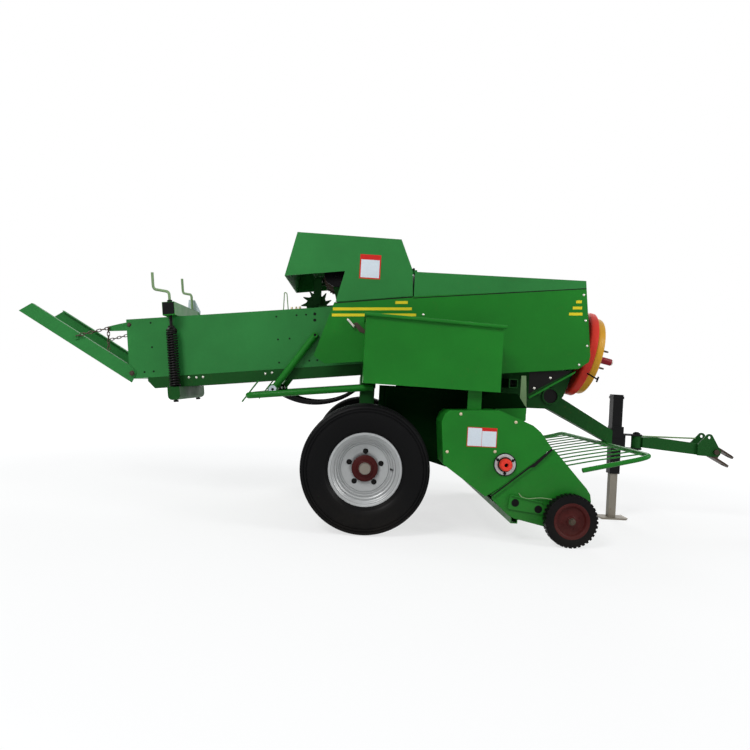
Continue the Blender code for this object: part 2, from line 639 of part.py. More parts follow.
GEARBOX_FLOOR = [(DRIVE_CENTRE[0] + x * math.cos(DRIVE_TILT) + z * math.sin(DRIVE_TILT),
                  DRIVE_CENTRE[1] - x * math.sin(DRIVE_TILT) + z * math.cos(DRIVE_TILT))
                 for x, z in ((-0.56, -0.16 - FIT), (-0.19, -0.16 - FIT))]
CRADLE_HALF = 0.5 * CHAMBER_WIDTH - RAIL_WIDTH - FIT
SLOPE_LOW = (1.125, 0.838)
SLOPE_HIGH = (1.418, 1.0535)


def cradle():
    """Front frame: side plates between the chamber rails, sloped foot for the drawbar, gearbox seat."""
    (bx, bz), (fx, fz) = GEARBOX_FLOOR
    outline = [(0.62, 0.972), (0.95, 0.838), SLOPE_LOW, SLOPE_HIGH, (fx + 0.03, fz - 0.006),
               (fx, fz), (bx, bz), (0.86, bz - 0.05), (0.62, 1.010)]
    y = sorted((-CRADLE_HALF, -CRADLE_HALF + PLATE))
    sides = [prism(outline, *y), prism(outline, -y[1], -y[0])]
    inner = CRADLE_HALF - 0.001
    seat = prism(strip([(fx, fz), (bx, bz)], 0.010), -inner, inner)
    foot = prism(strip([SLOPE_LOW, SLOPE_HIGH], 0.010), -inner - 0.001, inner + 0.001)
    tie = block((0.93, 0.99), (-0.41, 0.41), (0.900, 0.960))
    hollow = block((0.936, 0.984), (-0.43, 0.43), (0.906, 0.954))
    piece("front_cradle", DEEP_GREEN, sides + [seat, foot, tie], [hollow], baler)
    for side, name in ((-1, "right"), (1, "left")):
        piece(f"pickup_hanger_{name}", PALE_GREEN,
              [block((0.935, 0.985), span(side, 0.41 + FIT, 0.418), (0.7863, 0.985))],
              (), baler)


def drawbar():
    """Sloped beam with its two bracket plates, cross tube and bolted head."""
    side_view = [(-BEAM_LENGTH, -BEAM_DEPTH / 2), (0.0, -BEAM_NOSE_DEPTH / 2), (0.0, BEAM_NOSE_DEPTH / 2),
                 (-BEAM_LENGTH, BEAM_DEPTH / 2)]
    beam = moved(prism(side_view, -BEAM_HALF_WIDTH, BEAM_HALF_WIDTH),
                 BEAM_FRONT[0], 0, BEAM_FRONT[1], BEAM_TILT)
    plate = [(1.125, 0.829), (1.403, 1.033), (1.435, 1.030), (1.378, 0.864), (1.345, 0.815),
             (1.262, 0.768), (1.125, 0.766)]
    shapes = [beam]
    for side in (-1, 1):
        shapes.append(prism(plate, *span(side, BRACKET_HALF - PLATE, BRACKET_HALF)))
    shapes.append(rod((1.284, 0.858), 0.060, -BRACKET_HALF - 0.012, BRACKET_HALF + 0.012, 16))
    drop = 0.0130
    head = strip([(SLOPE_LOW[0], SLOPE_LOW[1] - drop), (SLOPE_HIGH[0], SLOPE_HIGH[1] - drop)], 0.010)
    shapes.append(prism(head, -BRACKET_HALF - 0.03, BRACKET_HALF + 0.03))
    for a in (0.22, 0.5, 0.78):
        x = SLOPE_LOW[0] + a * (SLOPE_HIGH[0] - SLOPE_LOW[0])
        z = SLOPE_LOW[1] + a * (SLOPE_HIGH[1] - SLOPE_LOW[1]) - 0.012
        web = [(x - 0.012, z - 0.006), (x + 0.030, z + 0.026), (x + 0.022, z - 0.012)]
        for side in (-1, 1):
            shapes.append(prism(web, *span(side, BRACKET_HALF - 0.001, BRACKET_HALF + 0.024)))
    bore = rod((1.284, 0.858), 0.050, -0.5, 0.5, 16)
    px, pz = WINDGUARD_PIVOT
    ear = prism([(px - 0.021, pz + 0.065), (px - 0.021, pz - 0.006), (px - 0.010, pz - 0.016),
                 (px + 0.010, pz - 0.016), (px + 0.021, pz - 0.004), (px + 0.021, pz + 0.060)],
                -0.012, 0.012)
    shapes.append(ear)
    pin_hole = rod(WINDGUARD_PIVOT, 0.0075, -0.1, 0.1, 12)
    clip = block((JACK_X - JACK_TUBE / 2 - FIT, 2.2), (-0.3, 0.3), (0.4, 1.2))
    piece("drawbar", GREEN, shapes, [bore, pin_hole, clip], baler)


def jack():
    """Square tube on the beam's nose, hinge plates in front, square leg with its foot."""
    half = JACK_TUBE / 2
    inner = half - JACK_WALL
    px, pz = TONGUE_PIN
    plates = []
    for low, high in ((pz + 0.0435, pz + 0.0555), (pz - 0.0555, pz - 0.0435)):
        tab = [(JACK_X + half - 0.002, -0.045)] + arc((px, 0.0), 0.040, -70, 70, 8) \
            + [(JACK_X + half - 0.002, 0.045)]
        plates.append(prism(tab, low, high, "Z"))
    web = block((JACK_X + half - 0.001, JACK_X + half + 0.040), (-0.012, 0.012), (pz - 0.050, pz + 0.050))
    pin = rod((px, 0.0), 0.0155, pz - 0.066, pz + 0.072, 16, "Z")
    head = rod((px, 0.0), 0.026, pz + 0.0555 - 0.0001, pz + 0.066, 12, "Z")
    collar = block((JACK_X - half + 0.001, JACK_X + half + 0.010), (-half - 0.012, half + 0.012),
                   (0.585, 0.665))
    tube = block((JACK_X - half, JACK_X + half), (-half, half), (JACK_BOTTOM, JACK_TOP))
    cap = block((JACK_X - half - 0.004, JACK_X + half + 0.004), (-half - 0.004, half + 0.004),
                (JACK_TOP - 0.030, JACK_TOP - 0.012))
    bore = block((JACK_X - inner, JACK_X + inner), (-inner, inner), (JACK_BOTTOM - 0.05, JACK_TOP - 0.012))
    piece("jack_tube", BLACK, [tube, collar, cap, plates[0], plates[1], web, pin, head], [bore], baler)
    pivot = empty("jack_slide", (JACK_X, 0, 0), 0.0, baler)
    leg_half = JACK_LEG / 2
    fx, fy, fz = FOOT_SIZE
    foot = [(-fx / 2, 0.010), (-fx / 2 + 0.012, 0.0), (fx / 2 - 0.012, 0.0), (fx / 2, 0.010),
            (fx / 2, fz + 0.004), (fx / 2 - 0.014, fz), (-fx / 2 + 0.014, fz), (-fx / 2, fz + 0.004)]
    leg = block((-leg_half, leg_half), (-leg_half, leg_half), (fz / 2, JACK_BOTTOM + 0.13))
    piece("jack_leg", SILVER, [leg, prism(foot, -fy / 2, fy / 2)], (), pivot)


def tongue():
    """Swinging tongue on its upright pin, ear plates and the hitch clevis."""
    px, pz = TONGUE_PIN
    ex, ez = TONGUE_END
    pivot = empty("tongue_pivot", (px, 0, pz), 0.0, baler)
    dx, dz = ex - px, ez - pz
    eye = rod((0, 0), 0.036, -0.0430, 0.0430, 20, "Z")
    front_x = dx - 0.052
    drop = dz / dx
    bar = prism([(0.030, -0.036), (front_x, drop * front_x - 0.037), (front_x, drop * front_x + 0.043),
                 (0.10, 0.043), (0.030, 0.036)], -TONGUE_HALF_WIDTH, TONGUE_HALF_WIDTH)
    ears = []
    for side in (-1, 1):
        outline = [(dx - 0.135, dz - 0.030), (dx - 0.030, dz - 0.034)] \
            + [(dx + x, dz + z) for x, z in arc((0, 0), 0.036, -60, 50, 6)] \
            + [(dx - 0.052 + x, dz + 0.100 + z) for x, z in arc((0, 0), 0.028, 35, 150, 6)] \
            + [(dx - 0.135, dz + 0.050)]
        ears.append((side, prism(outline, *span(side, EAR_HALF - 0.010, EAR_HALF))))
    bridge = block((dx - 0.132, front_x + 0.004), (-EAR_HALF + 0.002, EAR_HALF - 0.002),
                   (dz - 0.026, dz + 0.040))
    bolt_hole = rod((dx, dz), 0.0125, -0.2, 0.2, 12)
    top_hole = rod((dx - 0.052, dz + 0.102), 0.011, -0.2, 0.2, 12)
    bore = rod((0, 0), 0.0158, -0.1, 0.1, 16, "Z")
    piece("tongue", GREEN, [bar, eye, bridge] + [shape for _, shape in ears],
          [bolt_hole, top_hole, bore], pivot)
    clevis = empty("clevis_pivot", (dx, 0, dz), CLEVIS_DROOP, pivot)
    half = EAR_HALF - 0.010 - 0.0015
    gap = CLEVIS_GAP / 2
    boss = rod((0, 0), 0.0285, -half, half, 16)
    heel = block((0.001, 0.040), (-half + 0.0012, half - 0.0012), (-gap - 0.004, gap + 0.004))
    straps = []
    for low, high in ((gap, gap + CLEVIS_STRAP), (-gap - CLEVIS_STRAP, -gap)):
        nose = arc((CLEVIS_REACH - 0.040, 0), 0.040, -90, 90, 8)
        straps.append(prism([(0.005, 0.0006 - half), (0.06, 0.0006 - half)] + nose
                            + [(0.06, half - 0.0006), (0.005, half - 0.0006)], low, high, "Z"))
    hitch = rod((CLEVIS_REACH - 0.040, 0), 0.0165, -0.1, 0.1, 14, "Z")
    bolt = rod((0, 0), 0.0120, -EAR_HALF - 0.014, EAR_HALF + 0.014, 12)
    heads = [rod((0, 0), 0.021, *span(side, EAR_HALF + 0.0015, EAR_HALF + 0.015), 6)
             for side in (-1, 1)]
    piece("hitch_clevis", DARK_STEEL, [heel, joined(straps), boss, bolt, joined(heads)], [hitch], clevis)


axle_frame()
main_wheels()
drive_line()
cradle()
drawbar()
jack()
tongue()


def knotter_hood():
    """Tall lid over the knotters, open below and at its rear overhang; hinged at its front top."""
    pivot = empty("hood_hinge", (HOOD_HINGE[0], 0, HOOD_HINGE[1]), 0.0, baler)
    local = [(x - HOOD_HINGE[0], z - HOOD_HINGE[1]) for x, z in HOOD_OUTLINE]
    inner = offset_outline(local, [SHEET, SHEET, SHEET, SHEET, -0.05, -0.05, -0.05])
    outer = prism(local, -BODY_HALF, BODY_HALF)
    hollow = prism(inner, -BODY_HALF + SHEET, BODY_HALF - SHEET)
    knuckles = [rod((0, 0.0), 0.0065, *span(side, 0.36, 0.42), 10) for side in (-1, 1)]
    tabs = [block((-0.012, 0.0), span(side, 0.361, 0.419), (-0.0060, 0.0055)) for side in (-1, 1)]
    piece("knotter_hood", GREEN, [outer] + tabs + knuckles, [hollow], pivot)


def front_hood():
    """Cover from the knotter hood to the flywheel, open below, with a closed nose."""
    inner = offset_outline(FRONT_HOOD_OUTLINE, [SHEET, SHEET, SHEET, -0.30])
    outer = prism(FRONT_HOOD_OUTLINE, -BODY_HALF, BODY_HALF)
    hollow = prism(inner, -BODY_HALF + SHEET, BODY_HALF - SHEET)
    ears = [block((HOOD_HINGE[0] - 0.001, HOOD_HINGE[0] + 0.030), span(side, 0.340, 0.3595),
                  (1.6195, HOOD_HINGE[1] + 0.008)) for side in (-1, 1)]
    piece("front_hood", GREEN, [outer] + ears, [hollow], baler)


def side_shields():
    """Flat side sheets with folded front edges and stand-offs to the chamber and the cradle."""
    outline = SHIELD_TOP + SHIELD_BOTTOM
    sheet = prism(outline, -BODY_HALF, -BODY_HALF + SHEET)
    fold = prism(strip([(1.4525, 1.141), (1.4045, 1.5795)], 0.004), -BODY_HALF, -BODY_HALF + 0.030)
    shapes = [sheet, fold]
    reach = 0.5 * CHAMBER_WIDTH + FIT
    for x, z in ((-0.20, 1.20), (0.45, 1.25)):
        shapes.append(block((x, x + 0.04), (-BODY_HALF + 0.001, -reach), (z, z + 0.05)))
    shapes.append(block((1.25, 1.29), (-BODY_HALF + 0.001, -CRADLE_HALF - FIT), (1.050, 1.085)))
    both("side_shield", GREEN, shapes, (), baler)


COVER_OUTLINE = [(0.707, 0.261), (0.785, 0.315), (1.082, 0.561), (1.012, 0.651), (0.964, 0.688),
                 (0.765, 0.764), (0.470, 0.749), (0.446, 0.728), (0.429, 0.679), (0.452, 0.435),
                 (0.531, 0.381)]


def cover_top(x):
    """The height of the pickup cover's flat top at x."""
    (front_x, front_z), (rear_x, rear_z) = COVER_OUTLINE[5], COVER_OUTLINE[6]
    return rear_z + (x - rear_x) * (front_z - rear_z) / (front_x - rear_x)


def twine_box():
    """Hollow box for balls of twine on the right side, with a sloped lid hinged at its inner edge."""
    x0, x1 = TWINE_BOX_X
    y0, y1 = TWINE_BOX_Y
    rear, front = TWINE_BOX_TOP
    outline = [(x0, TWINE_BOX_BOTTOM), (x1, TWINE_BOX_BOTTOM - 0.012), (x1, front), (x0, rear)]
    inner = offset_outline(outline, [SHEET, SHEET, -0.05, SHEET])
    stay = prism([(0.589, cover_top(0.589) + FIT), (0.672, cover_top(0.672) + FIT),
                  (0.672, TWINE_BOX_BOTTOM + 0.002), (0.589, TWINE_BOX_BOTTOM + 0.002)], -0.84, -0.832)
    piece("twine_box", GREEN, [prism(outline, y0, y1), stay],
          [prism(inner, y0 + SHEET, y1 - SHEET)], baler)
    fall = math.atan2(rear - front, x1 - x0)
    hinge = empty("lid_hinge", (x0, y1 - 0.006, rear + LID_LIFT), fall, baler)
    length = math.hypot(x1 - x0, rear - front)
    depth = y1 - 0.006 - y0
    under = -LID_LIFT + FIT
    roll = [(-depth - 0.006, under + 0.001), (0.0, under), (0.0, under + SHEET),
            (-depth - 0.004, under + SHEET + 0.001)]
    lid = prism(roll, -0.010, length + 0.012, "X")
    bead = rod((-depth - 0.0125, -0.0045), 0.0105, -0.012, length + 0.014, 12, "X")
    knuckle = prism(circle((-0.0015, -0.0035), 0.0062, 8, 0.3), 0.05, length - 0.05, "X")
    piece("twine_lid", GREEN, [lid, bead, knuckle], (), hinge)


knotter_hood()
front_hood()
side_shields()
twine_box()


def feeder_housing():
    """Trough round the auger, its throat up to the chamber floor and its two side walls."""
    cx, cz = AUGER_CENTRE
    trough = arc(AUGER_CENTRE, TROUGH_RADIUS, -54, -180, 6)
    path = trough + [(cx - TROUGH_RADIUS, cz + 0.10), (0.36, 0.78), (0.30, 0.865)]
    skin = prism(strip(path, -SHEET), -FEEDER_HALF, FEEDER_HALF)
    wall = [(cx + 0.104, cz - 0.108)] + arc(AUGER_CENTRE, TROUGH_RADIUS + SHEET + 0.004, -60, -150, 4) \
        + [(0.50, 0.39), (0.32, 0.44), (0.115, 0.62), (0.115, 0.865), (0.93, 0.865), (0.985, 0.785),
           (0.96, 0.56)]
    walls = [prism(wall, *span(side, FEEDER_HALF, FEEDER_HALF - SHEET)) for side in (-1, 1)]
    back = prism(strip([(0.115, 0.865), (0.115, 0.62), (0.32, 0.44), (0.50, 0.39), (0.655, 0.40)], SHEET),
                 -FEEDER_HALF, FEEDER_HALF)
    beam = block((0.93, 0.99), (-FEEDER_HALF, FEEDER_HALF), (0.745, 0.786))
    deck = block((0.116, 0.880), (-FEEDER_HALF + 0.001, FEEDER_HALF - 0.001), (0.861, 0.8645))
    x0, x1, half = 0.22, 0.70, THROAT_HALF

    def floor(x):
        return chamber_to_machine(chamber_s(x), 0.0)[1] - 2 * FIT

    throat = prism([(x0, 0.80), (x1, 0.80), (x1, floor(x1)), (x0, floor(x0))], -half, half)
    passage = block((x0 + SHEET, x1 - SHEET), (-half + SHEET, half - SHEET), (0.790, 1.3))
    bearing_hole = rod(AUGER_CENTRE, 0.034, -1.0, 1.0, 16)
    piece("feeder_housing", DEEP_GREEN, [skin] + walls + [back, beam, deck, throat],
          [passage, bearing_hole], baler)


def pickup_covers():
    """Fixed outer cover on each side: a sheet with a rim on its top, rear and lower rear edges."""
    rim_path = COVER_OUTLINE[4:] + [(0.690, 0.273)]
    sheet = prism(COVER_OUTLINE, -COVER_FACE, -COVER_FACE + SHEET)
    rim = prism(strip(rim_path, SHEET), -COVER_FACE, -FEEDER_HALF - FIT)
    bearing = rod(AUGER_CENTRE, 0.068, -COVER_FACE - 0.007, -COVER_FACE + 0.001, 24)
    hole = bore(AUGER_CENTRE, AUGER_SHAFT + 0.0005, -1.2, -0.5)
    both("pickup_cover", GREEN, [sheet, rim, bearing], [hole], baler)


def auger():
    """Two opposed flights on one shaft, which bring the crop to the middle."""
    pivot = empty("auger_line", (AUGER_CENTRE[0], 0, AUGER_CENTRE[1]), 0.0, baler)
    shapes = [rod((0, 0), AUGER_SHAFT, -COVER_FACE - 0.030, COVER_FACE + 0.030, 12),
              rod((0, 0), 0.045, -FEEDER_HALF + 0.02, FEEDER_HALF - 0.02, 12)]
    turns, steps, thick = 1.5, 10, 0.006
    for side in (-1, 1):
        points = []
        faces = []
        count = int(turns * steps)
        for i in range(count + 1):
            angle = side * math.tau * i / steps
            y = side * (FEEDER_HALF - 0.05 - 0.46 * i / count)
            for radius, shift in ((0.040, -thick / 2), (AUGER_RADIUS, -thick / 2),
                                  (AUGER_RADIUS, thick / 2), (0.040, thick / 2)):
                points.append((radius * math.cos(angle), y + shift, radius * math.sin(angle)))
        faces.append((0, 1, 2, 3))
        faces.append(tuple(4 * count + k for k in (3, 2, 1, 0)))
        for i in range(count):
            for k in range(4):
                n = (k + 1) % 4
                faces.append((4 * i + k, 4 * i + 4 + k, 4 * i + 4 + n, 4 * i + n))
        shapes.append((points, faces))
    cap = turned([(0.0, -COVER_FACE - 0.050), (0.030, -COVER_FACE - 0.050), (0.036, -COVER_FACE - 0.040),
                  (0.036, -COVER_FACE - 0.009), (0.0, -COVER_FACE - 0.009)], 12)
    piece("auger", DEEP_GREEN, shapes + [cap, mirrored(cap)], (), pivot)


def pickup():
    """Lifting part of the pickup: side sheets, bands round the reel, reel and gauge wheels."""
    lift = empty("pickup_pivot", (AUGER_CENTRE[0], 0, AUGER_CENTRE[1]), 0.0, baler)

    def local(points):
        return [(x - AUGER_CENTRE[0], z - AUGER_CENTRE[1]) for x, z in points]

    outline = local([(1.099, 0.554), (1.304, 0.334), (1.327, 0.300), (1.334, 0.257), (1.310, 0.230),
                     (1.067, 0.100), (0.885, 0.139), (0.850, 0.155), (0.749, 0.245), (0.745, 0.440),
                     (0.780, 0.505), (0.860, 0.510), (0.925, 0.440)])
    sheet = prism(outline, -SHEET_FACE, -SHEET_FACE + SHEET)
    bend = prism(strip(local([(1.099, 0.554), (1.304, 0.334), (1.327, 0.300), (1.334, 0.257)]), -SHEET),
                 -SHEET_FACE, -SHEET_FACE + 0.014)
    pivot_hole = bore((0, 0), AUGER_SHAFT + 0.0005, -1.2, -0.5)
    reel_hole = bore(local([REEL_CENTRE])[0], 0.0185, -1.2, -0.5)
    (gx, gz), = local([GAUGE_CENTRE])
    arm = local([(0.842, 0.195), (0.853, 0.279), (1.080, 0.238), (1.215, 0.172), (1.222, 0.135),
                 (1.190, 0.125), (1.060, 0.170)])
    arm_shape = prism(arm, -SHEET_FACE - 0.010, -SHEET_FACE + 0.001)
    flange = prism(strip(local([(1.080, 0.238), (0.853, 0.279)]), 0.006),
                   -SHEET_FACE - 0.018, -SHEET_FACE - 0.002)
    axle = rod((gx, gz), 0.0125, -GAUGE_FACE - 0.012, -SHEET_FACE + 0.0005, 12)
    arm_holes = [rod(local([p])[0], 0.013, -SHEET_FACE - 0.05, -SHEET_FACE - 0.004, 12)
                 for p in ((0.885, 0.234), (1.022, 0.203))]
    both("pickup_sheet", GREEN, [sheet, bend, arm_shape, flange, axle],
         [pivot_hole, reel_hole] + arm_holes, lift)

    (rx, rz), = local([REEL_CENTRE])
    pitch = 2 * REEL_HALF / TINE_COUNT
    gap = 0.020
    (tail,) = local([BAND_TAIL])
    band_path = [(rx - 0.075, rz + BAND_RADIUS + 0.012)] + arc((rx, rz), BAND_RADIUS, 88, -112, 5) + [tail]
    bands = [prism(strip(band_path, -SHEET), -REEL_HALF + pitch * i - 0.5 * (pitch - gap),
                   -REEL_HALF + pitch * i + 0.5 * (pitch - gap)) for i in range(TINE_COUNT + 1)]
    end = SHEET_FACE - SHEET - FIT
    rear_beam = block((tail[0] - 0.038, tail[0] + 0.002), (-end, end), (tail[1] - 0.003, tail[1] + 0.033))
    beam_hollow = block((tail[0] - 0.034, tail[0] - 0.002), (-end - 0.01, end + 0.01),
                        (tail[1] + 0.0045, tail[1] + 0.029))
    piece("pickup_bands", GREEN, [rear_beam, joined(bands)], [beam_hollow], lift)

    reel = empty("reel_line", (rx, 0, rz), 0.0, lift)
    foot, tip, half = 0.066, TINE_REACH, 0.0060
    comb = [(-REEL_HALF - 0.012, foot), (REEL_HALF + 0.012, foot), (REEL_HALF + 0.012, foot + 0.022)]
    for i in range(TINE_COUNT - 1, -1, -1):
        y = -REEL_HALF + pitch * (i + 0.5)
        comb += [(y + half, foot + 0.022), (y, tip), (y - half, foot + 0.022)]
    comb.append((-REEL_HALF - 0.012, foot + 0.022))
    shapes = [rod((0, 0), 0.018, -SHEET_FACE + 0.0005, SHEET_FACE - 0.0005, 12)]
    for k in range(TINE_BARS):
        flat = prism(comb, -0.004, 0.004, "X")
        shapes.append(moved(flat, turn_y=math.tau * (k + 0.5) / TINE_BARS))
    spider = circle((0, 0), 0.092, 12, 0.1)
    for y in (-REEL_HALF - 0.008, REEL_HALF + 0.002):
        shapes.append(prism(spider, y, y + 0.006))
    piece("pickup_reel", GREEN, shapes, (), reel)

    blocks = 15
    w = GAUGE_WIDTH / 2
    for side, name in ((-1, "right"), (1, "left")):
        wheel = empty(f"gauge_line_{name}", (gx, side * (GAUGE_FACE - w), gz), 0.0, lift)
        section = [(0.090, -w + 0.006), (0.115, -w), (GAUGE_RADIUS - 0.009, -w + 0.004),
                   (GAUGE_RADIUS - 0.009, w - 0.004), (0.115, w), (0.090, w - 0.006)]
        lugs = []
        for i in range(blocks):
            angle = math.tau * i / blocks
            width = 0.32 * math.tau / blocks
            quad = [(r * math.cos(angle + t), r * math.sin(angle + t))
                    for r, t in ((GAUGE_RADIUS - 0.014, -width), (GAUGE_RADIUS, -width),
                                 (GAUGE_RADIUS, width), (GAUGE_RADIUS - 0.014, width))]
            lugs.append(prism(quad, 0.002 - w, w - 0.002))
        piece(f"gauge_tyre_{name}", TYRE, [turned(section, 2 * blocks), joined(lugs)], (), wheel)
        disc = [(0.0130, -0.030), (0.026, -0.030), (0.026, -0.006), (0.080, -0.010),
                (0.0897 - FIT, -w + 0.006), (0.0897 - FIT, w - 0.006), (0.078, 0.004), (0.030, 0.012),
                (0.026, 0.030), (0.0130, 0.030)]
        profile = [(r, t * side) for r, t in disc]
        piece(f"gauge_disc_{name}", MAROON, [turned(profile, 15)], (), wheel, True)


def windguard():
    """Rods that trail over the pickup from a bent tube, pinned under the drawbar's nose."""
    px, pz = WINDGUARD_PIVOT
    pivot = empty("windguard_pivot", (px, 0, pz), 0.0, baler)
    tube_r = 0.0145
    bar_x, bar_z = WINDGUARD_BAR[0] - px, WINDGUARD_BAR[1] - pz
    bend = 0.06
    end_y = 0.872
    tail = (1.289 - px, 0.434 - pz)
    frame = []
    for side in (-1, 1):
        frame.append([(tail[0], side * end_y, tail[1]),
                      (bar_x - bend - 0.006, side * end_y, bar_z - 0.022),
                      (bar_x - 0.022, side * (end_y - 0.018), bar_z - 0.007),
                      (bar_x, side * (end_y - bend), bar_z)])
    path = frame[0] + frame[1][::-1]
    shapes = [swept(path, tube_r, 10, 1.0, (0, 0, 1))]
    rods = []
    reach = (1.150 - px, 0.4300 - pz)
    for i in range(WINDGUARD_RODS):
        y = -0.77 + 1.54 * i / (WINDGUARD_RODS - 1)
        rods.append(swept([(reach[0], y, reach[1]), (bar_x - 0.020, y, bar_z + 0.0),
                           (bar_x + 0.004, y, bar_z + 0.004)], 0.0045, 6))
    shapes.append(joined(rods))
    for side in (-1, 1):
        tab = [(bar_x, bar_z - 0.010), (0.004, -0.013), (0.012, -0.004), (0.008, 0.010), (-0.004, 0.013),
               (bar_x, bar_z + 0.010)]
        shapes.append(prism(tab, *span(side, 0.0135, 0.0195)))
    shapes.append(rod((0, 0), 0.0070, -0.026, 0.026, 12))
    piece("windguard", GREEN, shapes, (), pivot)


feeder_housing()
pickup_covers()
auger()
pickup()
windguard()


def needle_yoke():
    """Yoke arms outside the chamber, its cross tube below, the guard bars and the curved needles."""
    (tx, tz), (fx, fz) = YOKE_TOP, YOKE_FOOT
    y = 0.5 * CHAMBER_WIDTH + 0.036
    shapes = [rod((fx, fz - 0.012), 0.026, -y - 0.03, y + 0.03, 14)]
    for side in (-1, 1):
        shapes.append(swept([(fx, side * y, fz - 0.012), (tx, side * y, tz)], 0.0235, 12))
        shapes.append(rod((tx, tz), 0.020, *span(side, 0.5 * CHAMBER_WIDTH + FIT, y + 0.030), 12))
        shapes.append(rod((fx, fz - 0.012), 0.034, *span(side, y + 0.028, y + 0.046), 14))
    piece("needle_yoke", GREEN, shapes, (), baler)
    guard_y = POST_Y + FIT + 0.021
    start, end = (-0.772, 0.756), (0.035, 0.853)
    path = [(end[0], -guard_y, end[1]), (start[0] + 0.04, -guard_y, start[1] + 0.005),
            (start[0], -guard_y + 0.04, start[1]), (start[0], guard_y - 0.04, start[1]),
            (start[0] + 0.04, guard_y, start[1] + 0.005), (end[0], guard_y, end[1])]
    bar = swept(path, 0.021, 10, 1.0, (0, 0, 1))
    prongs = [swept([(start[0] - 0.045, yy, start[1] - 0.045), (start[0] + 0.055, yy, start[1] + 0.100)],
                    0.005, 6) for yy in (-guard_y + 0.06, guard_y - 0.06)]
    piece("needle_guard", GREEN, [bar] + prongs, (), baler)
    centre = (-0.318, 1.012)
    radius = math.hypot(fx - centre[0], fz - 0.045 - centre[1])
    first = math.degrees(math.atan2(fz - 0.050 - centre[1], fx - centre[0]))
    steps = 12
    for side, name in ((-1, "right"), (1, "left")):
        points = arc(centre, radius, first, first + 88, steps)
        path = [(x, side * NEEDLE_Y, z) for x, z in points]
        radii = [0.021 - 0.013 * i / steps for i in range(steps + 1)]
        needle = swept(path, radii, 8, 0.45)
        clamp = block((fx - 0.028, fx + 0.028), (side * NEEDLE_Y - 0.016, side * NEEDLE_Y + 0.016),
                      (fz - 0.092, fz - 0.026))
        seat = rod((fx, fz - 0.012), 0.0264, -0.5, 0.5, 14)
        piece(f"needle_{name}", BLACK, [needle, clamp], [seat], baler)


def chute():
    """Two rails with a floor between them, folded up for the road on its hinge bolts."""
    pivot = empty("chute_pivot", (CHUTE_PIVOT[0], 0, CHUTE_PIVOT[1]), 0.0, baler)
    cos, sin = math.cos(CHUTE_TILT), math.sin(CHUTE_TILT)

    def place(points):
        return [(-a * cos + b * sin, a * sin + b * cos) for a, b in points]

    inner = 0.5 * CHAMBER_WIDTH + 0.0005
    rail = [(-0.030, -0.056), (CHUTE_LENGTH, -0.057), (CHUTE_LENGTH - 0.045, 0.032), (0.045, 0.034),
            (-0.020, 0.018)]
    shapes = []
    lip = [(0.075, -0.057), (CHUTE_LENGTH - 0.01, -0.057), (CHUTE_LENGTH - 0.01, -0.053), (0.075, -0.053)]
    shapes.append(prism(place(lip), -inner - 0.001, inner + 0.001))
    for side in (-1, 1):
        shapes.append(prism(place(rail), *span(side, inner, inner + 0.006)))
        top = [(0.075, 0.028), (CHUTE_LENGTH - 0.045, 0.026), (CHUTE_LENGTH - 0.045, 0.032),
               (0.075, 0.034)]
        shapes.append(prism(place(top), *span(side, inner - 0.028, inner + 0.0005)))
        shapes.append(rod(place([(0, 0)])[0], 0.014, *span(side, inner + 0.005, inner + 0.018), 6))
        shapes.append(rod(place([(0.438, 0.0)])[0], 0.013,
                          *span(side, inner + 0.005, inner + 0.016), 8))
    cuts = [prism(place([(a, -0.08), (a + 0.10, -0.08), (a + 0.10, 0.0), (a, 0.0)]), y, y + 0.15)
            for a in (0.16, 0.34, 0.52, 0.70) for y in (-0.19, 0.04)]
    piece("bale_chute", GREEN, shapes, cuts, pivot)
    hook = (CHUTE_PIVOT[0] + place([(0.438, 0)])[0][0], CHUTE_PIVOT[1] + place([(0.438, 0)])[0][1])
    lug = chamber_to_machine(-0.112, 0.345)
    links = 7
    for side, name in ((-1, "right"), (1, "left")):
        y = side * (inner + 0.012)
        start = Vector((hook[0], y + side * 0.013, hook[1] + 0.012))
        end = Vector((lug[0], y, lug[1] + 0.004))
        shapes = []
        for i in range(links):
            middle = start.lerp(end, (i + 0.5) / links)
            length = (end - start).length / links * 0.70
            rise = math.atan2(end.z - start.z, end.x - start.x)
            wide, thin = (0.0075, 0.003) if i % 2 else (0.003, 0.0075)
            shapes.append(moved(block((-length, length), (-thin, thin), (-wide, wide)),
                                middle.x, middle.y, middle.z, -rise))
        shapes.append(swept([end + Vector((-0.004, 0, 0)), end + Vector((0.012, 0, -0.07)),
                             end + Vector((0.016, 0, -0.150))], 0.0055, 6))
        shapes.append(rod((end.x, end.z), 0.005, *sorted((side * (0.5 * CHAMBER_WIDTH + FIT), y)), 8))
        piece(f"chute_chain_{name}", DARK_STEEL, shapes, (), baler)


needle_yoke()
chute()
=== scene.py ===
"""Looks of a towed square baler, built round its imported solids.

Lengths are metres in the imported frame: +X forward, +Y the machine's left, +Z up, ground at z = 0.
Side-view places are written as x from the main axle and z; AXLE_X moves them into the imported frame.
"""
import json
import math

import bmesh
import bpy
import numpy as np
from mathutils import Matrix


